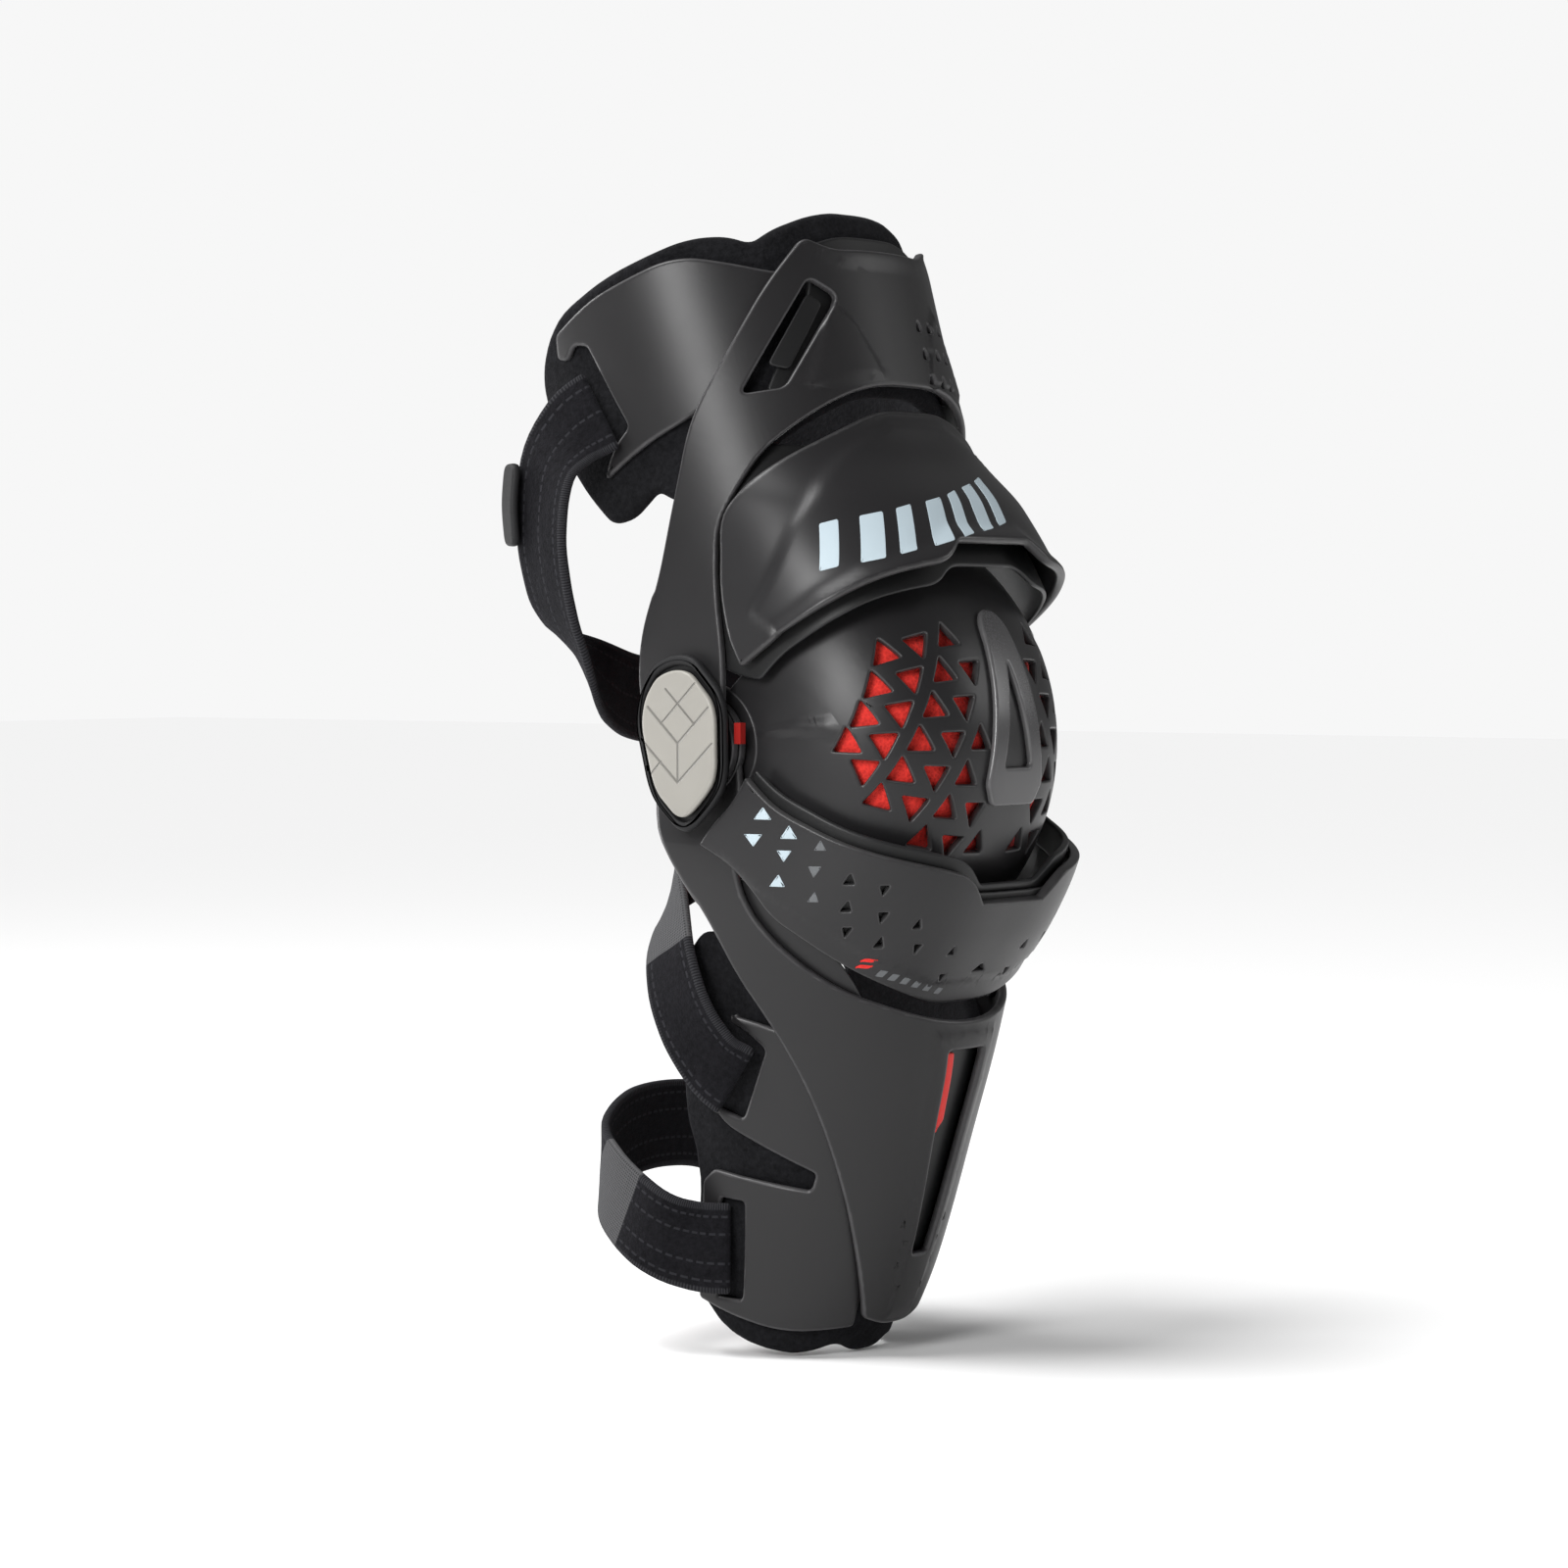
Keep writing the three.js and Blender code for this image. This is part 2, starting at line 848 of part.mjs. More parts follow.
for (const [side, word] of [[-1, "left"], [1, "right"]]) {
  const pin = [
    [0, PIN_SPAN.inner],
    [PIN_RADIUS, PIN_SPAN.inner],
    [PIN_RADIUS, PIN_HEAD.inner],
    [PIN_HEAD.radius, PIN_HEAD.inner],
    [PIN_HEAD.radius, PIN_HEAD.outer],
    [0, PIN_HEAD.outer],
  ];
  add(`pivot_pin_${word}`, turned(pin, side, 24), STEEL, 0.35, 1);
  add(
    `hinge_housing_${word}`,
    sidePlate(circle(HOUSING.radius, 24), HOUSING.inner, HOUSING.outer, side, HOUSING.bore),
    BLACK,
    0.5,
  );
  const pocket = sidePlate(scaled(coverOutline, COVER.scale + 0.02), COVER.inner - 0.3, 80, side);
  const bezel = sidePlate(scaled(coverOutline, BEZEL.scale), BEZEL.inner, BEZEL.outer, side);
  add(`hinge_bezel_${word}`, cut(bezel, [pocket]), RUBBER, 0.7);
  add(
    `hinge_cover_${word}`,
    sidePlate(scaled(coverOutline, COVER.scale), COVER.inner, COVER.outer, side),
    GREY,
    0.55,
  );
  add(
    `condyle_pad_${word}`,
    sidePlate(circle(CONDYLE_PAD.radius, 24), CONDYLE_PAD.inner, CONDYLE_PAD.outer, side),
    FABRIC,
    0.95,
  );
  const stop = [
    [-20.4, 8],
    [-20.4, 1],
    [-17.8, 1],
    [-17.8, 8],
  ];
  add(`extension_stop_${word}`, sidePlate(stop, 68.2, 71, side), RED, 0.5);
}

// --- straps ---

// A left half path, from its notch to the middle of the back, and its mirror image.
const strapPath = (half) => [...half, ...half.slice(0, -1).reverse().map(([x, y, z, a]) => [-x, y, z, -360 - a])];

const thighStrapHalf = [
  [-72.6, 36.5, 112.5, -92],
  [-76.5, 45.5, 106, -96],
  [-81, 52.5, 94, -104],
  [-82.5, 54.5, 76, -110],
  [-81.5, 54, 59, -112],
  [-76, 52.5, 42, -116],
  [-65, 51, 29, -124],
  [-48, 53, 20, -140],
  [-24, 59, 15, -162],
  [0, 62, 14, -180],
];
add("thigh_strap", strap(strapPath(thighStrapHalf), THIGH_STRAP, 36), FABRIC, 0.9);
const thighTab = [
  [-81, 68.3, 95, -124],
  [-81.8, 69, 81, -125],
  [-80.6, 68.7, 67, -126],
];
add("thigh_strap_tab", strap(thighTab, { width: 12, thickness: 3 }, 6), RUBBER, 0.8);

const calfUpperHalf = [
  [-53.8, -6, -113, -91],
  [-57, 1.5, -107, -94],
  [-60.5, 9.5, -94, -98],
  [-60.5, 16, -78, -103],
  [-54.5, 22, -63, -110],
  [-43, 28, -50, -128],
  [-25, 35, -42.5, -155],
  [0, 39, -41, -180],
];
add("calf_strap_upper", strap(strapPath(calfUpperHalf), CALF_STRAP_UPPER, 34), FABRIC, 0.9);
const calfUpperTab = [
  [30, 40.4, -45, -206],
  [42.8, 37, -51, -218],
  [54.9, 31.2, -61, -234],
];
add("calf_strap_upper_tab", strap(calfUpperTab, { width: 20, thickness: 3 }, 6), RUBBER, 0.8);

const calfLowerHalf = [
  [-43.9, 4, -171.3, -90],
  [-47.4, 10, -171.2, -90],
  [-49.6, 16, -170.5, -92],
  [-53.6, 24, -168, -97],
  [-55, 34, -163, -103],
  [-51, 49, -154, -116],
  [-41, 60.5, -146, -140],
  [-22, 66, -139, -162],
  [0, 68, -137, -180],
];
add("calf_strap_lower", strap(strapPath(calfLowerHalf), CALF_STRAP_LOWER, 34), FABRIC, 0.9);

export default knee;
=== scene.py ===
"""Looks of a hinged knee guard: thigh cuff, domed knee cup and shin cuff.

Patterns are cut flat in millimetres, get rounded edges, and are then laid on the forms of the leg.
Left is the -X side and right is the +X side.
"""

import math

import bmesh
import bpy
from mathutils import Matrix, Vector, noise


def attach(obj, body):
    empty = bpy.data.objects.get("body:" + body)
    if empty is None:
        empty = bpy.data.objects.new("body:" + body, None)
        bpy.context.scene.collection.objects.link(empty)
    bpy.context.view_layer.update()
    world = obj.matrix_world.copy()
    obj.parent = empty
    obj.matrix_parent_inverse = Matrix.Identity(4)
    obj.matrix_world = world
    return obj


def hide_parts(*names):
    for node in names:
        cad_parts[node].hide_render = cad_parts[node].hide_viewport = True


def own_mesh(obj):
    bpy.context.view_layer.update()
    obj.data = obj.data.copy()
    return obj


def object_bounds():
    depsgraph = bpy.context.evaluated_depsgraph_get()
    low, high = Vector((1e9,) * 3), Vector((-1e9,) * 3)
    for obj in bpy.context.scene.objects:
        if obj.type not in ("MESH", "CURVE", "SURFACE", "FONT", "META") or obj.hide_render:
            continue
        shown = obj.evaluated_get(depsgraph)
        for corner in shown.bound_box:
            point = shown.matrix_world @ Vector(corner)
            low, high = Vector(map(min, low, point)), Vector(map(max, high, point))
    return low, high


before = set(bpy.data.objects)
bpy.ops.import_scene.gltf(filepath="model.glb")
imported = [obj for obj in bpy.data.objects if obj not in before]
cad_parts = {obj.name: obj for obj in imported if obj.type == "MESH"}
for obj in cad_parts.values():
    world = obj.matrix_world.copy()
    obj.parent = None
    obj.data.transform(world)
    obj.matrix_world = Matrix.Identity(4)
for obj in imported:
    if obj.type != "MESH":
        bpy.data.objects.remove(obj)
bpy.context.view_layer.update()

MM = 0.001

# ---------- forms ----------

THIGH_LEAN = 17
SHIN_LEAN = -5
CUP_LEAN = 6

# Level sections: height, half width, depth to the front, squareness, how far back the centre is.
THIGH_SECTIONS = [
    (-30, 71, 72, 3.0, 0),
    (0, 71, 72, 3.0, 0),
    (60, 72, 73, 2.6, 0),
    (120, 74, 74, 2.3, 0),
    (180, 78, 76, 2.2, 0),
]
SHIN_SECTIONS = [
    (-215, 43, 42, 2.1, -2),
    (-171, 47, 52, 2.1, -6),
    (-125, 52, 59, 2.2, -8),
    (-97, 57, 64, 2.2, -8),
    (-60, 65.5, 69, 2.5, -4),
    (-34, 68.5, 71, 2.9, -1),
    (-24, 67, 72, 3, 0),
    (30, 67, 72, 3, 0),
]
UPPER_SHIELD_SECTIONS = [
    (10, 73, 89, 3, 0),
    (50, 73, 84, 2.9, 3),
    (80, 72, 77, 2.7, 13),
    (97, 70, 68, 2.5, 20),
    (116, 67, 63, 2.4, 24),
]
LOWER_SHIELD_SECTIONS = [
    (-95, 61, 56, 2.6, 0),
    (-77, 66, 66, 2.7, 0),
    (-62, 69.5, 76, 2.8, 0),
    (-42, 71.5, 86, 2.9, 0),
    (-21, 73, 91, 2.9, 0),
    (0, 73, 92, 2.9, 0),
]
CUP_RADIUS = 82
CUP_HALF_WIDTH = 62.5
CUP_SQUARENESS = 2.9


def signed_power(value, power):
    return math.copysign(abs(value) ** power, value)


def section_at(rows, height):
    """The four values of a level section at a height, running smoothly from row to row."""
    last = len(rows) - 2
    i = 0
    while i < last and height > rows[i + 1][0]:
        i += 1
    low, high = rows[i], rows[i + 1]
    before, after = rows[max(i - 1, 0)], rows[min(i + 2, last + 1)]
    span = high[0] - low[0]
    part = (height - low[0]) / span
    values = []
    for k in range(1, 5):
        leave = (high[k] - before[k]) / (high[0] - before[0])
        arrive = (after[k] - low[k]) / (after[0] - low[0])
        if part < 0:
            values.append(low[k] + leave * span * part)
        elif part > 1:
            values.append(high[k] + arrive * span * (part - 1))
        else:
            p2, p3 = part * part, part * part * part
            values.append(
                (2 * p3 - 3 * p2 + 1) * low[k]
                + (p3 - 2 * p2 + part) * span * leave
                + (3 * p2 - 2 * p3) * high[k]
                + (p3 - p2) * span * arrive
            )
    return values


def row_before(lengths, length):
    """The index of the last of the rising lengths that is not over a length."""
    low, high = 0, len(lengths) - 1
    while high - low > 1:
        middle = (low + high) // 2
        if lengths[middle] <= length:
            low = middle
        else:
            high = middle
    return low


class Form:
    """A surface that patterns are laid on. Its points go by angle and height, in millimetres."""

    step = 0.05

    def normal(self, u, v):
        across = self.point(u + self.step, v) - self.point(u - self.step, v)
        along = self.point(u, v + self.step) - self.point(u, v - self.step)
        return across.cross(along).normalized()

    def place(self, x, y, z):
        """Where a point of a flat pattern goes, in metres."""
        u, v = self.chart(x, y)
        return (self.point(u, v) + self.normal(u, v) * z) * MM


class LegForm(Form):
    """A leg's tube: an angle from the front and a height. Patterns are flattened at one level."""

    # How far round from the front a pattern may reach, in degrees.
    reach = 136

    def __init__(self, rows, lean, level):
        self.rows = rows
        self.turn = (math.cos(math.radians(-lean)), math.sin(math.radians(-lean)))
        self.lengths = [0.0]
        last = self.point(0, level)
        for i in range(1, self.reach * 2 + 1):
            here = self.point(i / 2, level)
            self.lengths.append(self.lengths[-1] + (here - last).length)
            last = here

    def point(self, u, v):
        half_width, depth, squareness, centre = section_at(self.rows, v)
        a = math.radians(u)
        x = half_width * signed_power(math.sin(a), 2 / squareness)
        y = centre - depth * signed_power(math.cos(a), 2 / squareness)
        c, s = self.turn
        return Vector((x, y * c - v * s, y * s + v * c))

    def flat(self, u, v):
        a = min(abs(u) * 2, len(self.lengths) - 1.001)
        i = int(a)
        length = self.lengths[i] + (self.lengths[i + 1] - self.lengths[i]) * (a - i)
        return (math.copysign(length, u), v)

    def chart(self, x, y):
        length = min(abs(x), self.lengths[-1] - 0.001)
        i = row_before(self.lengths, length)
        part = (length - self.lengths[i]) / (self.lengths[i + 1] - self.lengths[i])
        return (math.copysign((i + part) / 2, x), y)


class DomeForm(Form):
    """The knee cup's dome: a length along its profile, and an angle above level."""

    samples = 600

    def __init__(self):
        self.lengths = [0.0]
        self.rows = [(0.0, float(CUP_RADIUS))]
        for i in range(1, self.samples + 1):
            a = math.pi / 2 * i / self.samples
            x = CUP_HALF_WIDTH * math.sin(a) ** (2 / CUP_SQUARENESS)
            r = CUP_RADIUS * max(math.cos(a), 0.0) ** (2 / CUP_SQUARENESS)
            last = self.rows[-1]
            self.lengths.append(self.lengths[-1] + math.hypot(x - last[0], r - last[1]))
            self.rows.append((x, r))
        self.scale = math.radians(CUP_RADIUS)

    def profile(self, length):
        """The distance from the middle and from the hinge axis, at a length along the profile."""
        s = abs(length)
        i = row_before(self.lengths, s)
        (x, r), (next_x, next_r) = self.rows[i], self.rows[i + 1]
        part = (s - self.lengths[i]) / (self.lengths[i + 1] - self.lengths[i])
        return math.copysign(x + (next_x - x) * part, length), r + (next_r - r) * part

    def point(self, u, v):
        x, r = self.profile(u)
        a = math.radians(v + CUP_LEAN)
        return Vector((x, -r * math.cos(a), r * math.sin(a)))

    def normal(self, u, v):
        ahead, behind = self.profile(u + 0.4), self.profile(u - 0.4)
        rise = Vector((behind[1] - ahead[1], ahead[0] - behind[0])).normalized()
        a = math.radians(v + CUP_LEAN)
        return Vector((rise[0], -rise[1] * math.cos(a), rise[1] * math.sin(a)))

    def flat(self, u, v):
        return (u, v * self.scale)

    def chart(self, x, y):
        return (x, y / self.scale)


class SideForm(Form):
    """A plane across the hinge axis, looked at from outside. Its points are [y, z]."""

    def __init__(self, side, distance):
        self.side = side
        self.distance = distance

    def flat(self, y, z):
        return (y * self.side, z)

    def place(self, x, y, z):
        return Vector((self.side * (self.distance + z), x * self.side, y)) * MM


class BandForm(Form):
    """A strap's run through stations of x, y, z and the angle that its outer face looks at."""

    def __init__(self, stations, samples=160):
        self.lengths = []
        self.frames = []
        rows = []
        last = len(stations) - 1
        for i in range(samples + 1):
            t = i / samples * last
            k = min(int(t), last - 1)
            p = [stations[min(max(k + j, 0), last)] for j in (-1, 0, 1, 2)]
            f = t - k
            x, y, z, facing = (
                0.5
                * (
                    2 * p[1][c]
                    + (p[2][c] - p[0][c]) * f
                    + (2 * p[0][c] - 5 * p[1][c] + 4 * p[2][c] - p[3][c]) * f * f
                    + (3 * p[1][c] - p[0][c] - 3 * p[2][c] + p[3][c]) * f * f * f
                )
                for c in range(4)
            )
            a = math.radians(facing)
            rows.append((Vector((x, y, z)), Vector((math.sin(a), -math.cos(a), 0))))
        length = 0.0
        for i, (centre, out) in enumerate(rows):
            ahead = (rows[min(i + 2, samples)][0] - rows[max(i - 2, 0)][0]).normalized()
            across = out.cross(ahead).normalized()
            if i:
                length += (centre - rows[i - 1][0]).length
            self.lengths.append(length)
            self.frames.append((centre, across, ahead.cross(across)))
        self.length = length

    def flat(self, x, y):
        return (x, y)

    def place(self, x, y, z):
        i = row_before(self.lengths, x)
        part = (x - self.lengths[i]) / (self.lengths[i + 1] - self.lengths[i])
        centre, across, out = (a.lerp(b, part) for a, b in zip(self.frames[i], self.frames[i + 1]))
        return (centre + across.normalized() * y + out.normalized() * z) * MM


thigh_form = LegForm(THIGH_SECTIONS, THIGH_LEAN, 110)
shin_form = LegForm(SHIN_SECTIONS, SHIN_LEAN, -120)
upper_form = LegForm(UPPER_SHIELD_SECTIONS, 0, 60)
lower_form = LegForm(LOWER_SHIELD_SECTIONS, 0, -50)
cup_form = DomeForm()

# ---------- patterns ----------

# A bend under this many degrees becomes part of one smooth curve.
GENTLE_BEND = 38
# The narrow flat margin inside a rounded edge.
EDGE_MARGIN = 0.5
# Points nearer to each other than this become one.
SAME_PLACE = 0.05
SMOOTH_SHADING_ANGLE = math.radians(40)
CLOTH_STEPS = 20


def mirrored(points):
    return [(-u, v) for u, v in points]


def both_sides(right_half):
    """A right half outline joined to its mirror image, from the bottom round to the top."""
    return list(right_half) + mirrored(right_half)[::-1]


def area_of(points):
    return sum(p[0] * q[1] - q[0] * p[1] for p, q in zip(points, points[1:] + points[:1])) / 2


def softened(points, corner):
    """Gentle bends become one smooth curve, and sharp corners get a small radius."""
    result = []
    count = len(points)
    for i in range(count):
        before, here, after = (Vector(points[(i + k) % count]) for k in (-1, 0, 1))
        back, on = before - here, after - here
        bend = 180 - math.degrees(back.angle(on))
        smooth = bend < GENTLE_BEND
        reach = min(back.length, on.length) * (0.5 if smooth else 0.42)
        if not smooth:
            reach = min(reach, corner)
        start = here + back.normalized() * reach
        end = here + on.normalized() * reach
        steps = 5 if smooth or reach > 1.2 else 3
        for k in range(steps + 1):
            t = k / steps
            result.append(tuple(start * (1 - t) ** 2 + here * (2 * t * (1 - t)) + end * t * t))
    tidy = []
    for p in result:
        if not tidy or (Vector(p) - Vector(tidy[-1])).length > SAME_PLACE:
            tidy.append(p)
    if (Vector(tidy[0]) - Vector(tidy[-1])).length < SAME_PLACE:
        tidy.pop()
    return tidy


def moved_in(points, distance):
    """A loop moved to its left, which is into the material."""
    result = []
    count = len(points)
    for i in range(count):
        before, here, after = (Vector(points[(i + k) % count]) for k in (-1, 0, 1))
        a, b = (here - before).normalized(), (after - here).normalized()
        left = Vector((-a.y - b.y, a.x + b.x))
        if left.length < 1e-6:
            left = Vector((-a.y, a.x))
        left.normalize()
        stretch = max(left.dot(Vector((-a.y, a.x))), 0.5)
        result.append(tuple(here + left * (distance / stretch)))
    return result


def start_clean():
    bpy.ops.object.select_all(action="DESELECT")


def select_near(mesh, keys):
    """Selects the points that lie at the keys' places."""
    for v in mesh.verts:
        v.select_set(spot(v.co) in keys)
    mesh.select_flush(True)


def spot(place):
    return (round(place[0] * 1000), round(place[1] * 1000), round(place[2] * 1000))


def cut_pattern(name, loops, wall, rounding, pitch):
    """A flat closed pattern below z = 0 with rounded edges: an outline, then its holes."""
    loops = [list(loop) for loop in loops]
    for i, loop in enumerate(loops):
        if (area_of(loop) > 0) != (i == 0):
            loop.reverse()
    start_clean()
    bpy.ops.mesh.primitive_circle_add(vertices=len(loops[0]), radius=1)
    piece = bpy.context.object
    piece.name = name
    bpy.ops.object.mode_set(mode="EDIT")
    for loop in loops[1:]:
        bpy.ops.mesh.select_all(action="DESELECT")
        bpy.ops.mesh.primitive_circle_add(vertices=len(loop), radius=1)
    mesh = bmesh.from_edit_mesh(piece.data)
    places = [p for loop in loops for p in loop]
    for v, p in zip(mesh.verts, places):
        v.co = (p[0], p[1], -rounding)
    # The rounded edge is drawn in row by row, and ends in a narrow flat margin.
    rows = []
    turns = 4 if rounding > 1.5 else 3
    for k in range(1, turns + 1):
        a = math.pi / 2 * k / turns
        rows.append((rounding * (1 - math.cos(a)), rounding * (math.sin(a) - 1)))
    rows.append((rounding + EDGE_MARGIN, 0.0))
    front = [[(p[0], p[1], -rounding) for p in loop] for loop in loops]
    for inset, height in rows:
        target = [[(*p, height) for p in moved_in(loop, inset)] for loop in loops]
        moves = {spot(a): b for old, new in zip(front, target) for a, b in zip(old, new)}
        mesh = bmesh.from_edit_mesh(piece.data)
        select_near(mesh, moves)
        bmesh.update_edit_mesh(piece.data)
        bpy.ops.mesh.extrude_region_move()
        mesh = bmesh.from_edit_mesh(piece.data)
        for v in mesh.verts:
            if v.select:
                v.co = moves[spot(v.co)]
        front = target
    bmesh.update_edit_mesh(piece.data)
    if len(loops) == 1:
        bpy.ops.mesh.edge_face_add()
    else:
        bpy.ops.mesh.fill(use_beauty=True)
    xs = [p[0] for p in loops[0]]
    ys = [p[1] for p in loops[0]]
    for axis, low, high in ((0, min(xs), max(xs)), (1, min(ys), max(ys))):
        count = max(int((high - low) / pitch), 1)
        for i in range(1, count):
            value = low + (high - low) * i / count
            where = (value, 0, 0) if axis == 0 else (0, value, 0)
            facing = (1, 0, 0) if axis == 0 else (0, 1, 0)
            bpy.ops.mesh.select_all(action="SELECT")
            bpy.ops.mesh.bisect(plane_co=where, plane_no=facing, threshold=0.0005)
    # The back is a copy of the front, turned over.
    bpy.ops.mesh.select_all(action="SELECT")
    bpy.ops.mesh.extrude_region_move(TRANSFORM_OT_translate={"value": (0, 0, -wall)})
    mesh = bmesh.from_edit_mesh(piece.data)
    for v in mesh.verts:
        if v.select:
            v.co.z = -2 * wall - v.co.z
    bmesh.update_edit_mesh(piece.data)
    bpy.ops.mesh.select_all(action="SELECT")
    bpy.ops.mesh.remove_doubles(threshold=0.002)
    bpy.ops.mesh.normals_make_consistent(inside=False)
    bpy.ops.object.mode_set(mode="OBJECT")
    return piece


def lay(piece, form, top=0.0, relief=None):
    """Lays a flat pattern on a form, and keeps its flat places and its edges for the finishes."""
    mesh = piece.data
    flat = [tuple(v.co) for v in mesh.vertices]
    uv = mesh.uv_layers.new(name="flat")
    for loop in mesh.loops:
        uv.data[loop.index].uv = flat[loop.vertex_index][:2]
    edge = mesh.attributes.new("edge", "FLOAT", "POINT")
    deepest = min(p[2] for p in flat)
    for v, p in zip(mesh.vertices, flat):
        edge.data[v.index].value = 1.0 if deepest + 0.02 < p[2] < -0.02 else 0.0
        lift = relief(p[0], p[1], p[2]) if relief else 0.0
        v.co = form.place(p[0], p[1], p[2] + top + lift)


def panel(
    name, form, outline, holes=(), top=0.0, wall=3.0, rounding=0.8, pitch=3.2, corner=2.0,
    relief=None,
):
    """A plate on a form. Its outer face is at the height called top over the form."""
    loops = []
    for points in [outline, *holes]:
        loops.append(softened([form.flat(*p) for p in points], corner))
    piece = cut_pattern(name, loops, wall, rounding, pitch)
    lay(piece, form, top, relief)
    bpy.ops.object.shade_smooth_by_angle(angle=SMOOTH_SHADING_ANGLE)
    return piece


def fluff(amount):
    """A soft uneven rise for brushed fabric."""

    def relief(x, y, z):
        return amount * noise.noise(Vector((x / 9, y / 9, z / 9)))

    return relief


def small_triangle(u, v, size, up):
    """A triangle on a shield, by its middle and its half height."""
    flip = 1 if up else -1
    half = size * 0.75
    base = v - size * 0.6 * flip
    return [(u - half, base), (u + half, base), (u, v + size * flip)]


def depth_inside(points, x, y):
    """How far a place is inside a flat outline, and less than 0 outside it."""
    inside = False
    nearest = 1e9
    for (ax, ay), (bx, by) in zip(points, points[1:] + points[:1]):
        dx, dy = bx - ax, by - ay
        t = min(max(((x - ax) * dx + (y - ay) * dy) / (dx * dx + dy * dy), 0.0), 1.0)
        nearest = min(nearest, math.hypot(x - ax - t * dx, y - ay - t * dy))
        if (ay > y) != (by > y) and x < ax + (y - ay) * dx / dy:
            inside = not inside
    return nearest if inside else -nearest


def raised(form, steps):
    """Fields moulded higher than the rest: an outline, a height and the width of a slope each."""
    fields = [([form.flat(*p) for p in outline], height, slope) for outline, height, slope in steps]

    def relief(x, y, z):
        lift = 0.0
        for points, height, slope in fields:
            t = min(max(depth_inside(points, x, y) / slope + 0.5, 0.0), 1.0)
            lift += height * t * t * (3 - 2 * t)
        return lift

    return relief


def plumped(piece, voxel, cap, pressure):
    """Swells a pad as stuffed cloth, and keeps every point near its place."""
    bpy.context.view_layer.objects.active = piece
    remesh = piece.modifiers.new("remesh", "REMESH")
    remesh.mode = "VOXEL"
    remesh.voxel_size = voxel * MM
    bpy.ops.object.modifier_apply(modifier=remesh.name)
    rest = [v.co.copy() for v in piece.data.vertices]
    cloth = piece.modifiers.new("cloth", "CLOTH")
    cloth.settings.use_pressure = True
    cloth.settings.uniform_pressure_force = pressure
    cloth.settings.effector_weights.gravity = 0
    scene = bpy.context.scene
    for step in range(1, CLOTH_STEPS + 1):
        scene.frame_set(step)
    bpy.ops.object.modifier_apply(modifier=cloth.name)
    scene.frame_set(1)
    for v, start in zip(piece.data.vertices, rest):
        move = v.co - start
        if move.length > cap * MM:
            v.co = start + move.normalized() * cap * MM
    smoother = piece.modifiers.new("subdivision", "SUBSURF")
    smoother.levels = 1
    bpy.ops.object.modifier_apply(modifier=smoother.name)
    bpy.ops.object.shade_smooth()


# ---------- finishes ----------


class Number:
    """A number that varies over a surface: a node's output, with arithmetic on it."""

    def __init__(self, finish, socket):
        self.finish = finish
        self.socket = socket

    def math(self, operation, *others, clamp=False):
        settings = {"operation": operation, "use_clamp": clamp}
        return self.finish.node("ShaderNodeMath", settings, {0: self, **dict(enumerate(others, 1))})

    def __add__(self, other):
        return self.math("ADD", other)

    def __mul__(self, other):
        return self.math("MULTIPLY", other)

    def __sub__(self, other):
        return self.math("SUBTRACT", other)

    def __rsub__(self, other):
        return self.finish.node("ShaderNodeMath", {"operation": "SUBTRACT"}, {0: other, 1: self})

    def __truediv__(self, other):
        return self.math("DIVIDE", other)

    def above(self, limit, blur=0.0):
        """1 where this is over a limit, and 0 elsewhere."""
        if not blur:
            return self.math("GREATER_THAN", limit)
        return ((self - limit) / blur).math("ADD", 0.5, clamp=True)

    def below(self, limit):
        return self.math("LESS_THAN", limit)

    def repeat(self, pitch):
        """The place within each repeat, from 0 to 1."""
        return (self / pitch).math("FRACT")

    __radd__ = __add__


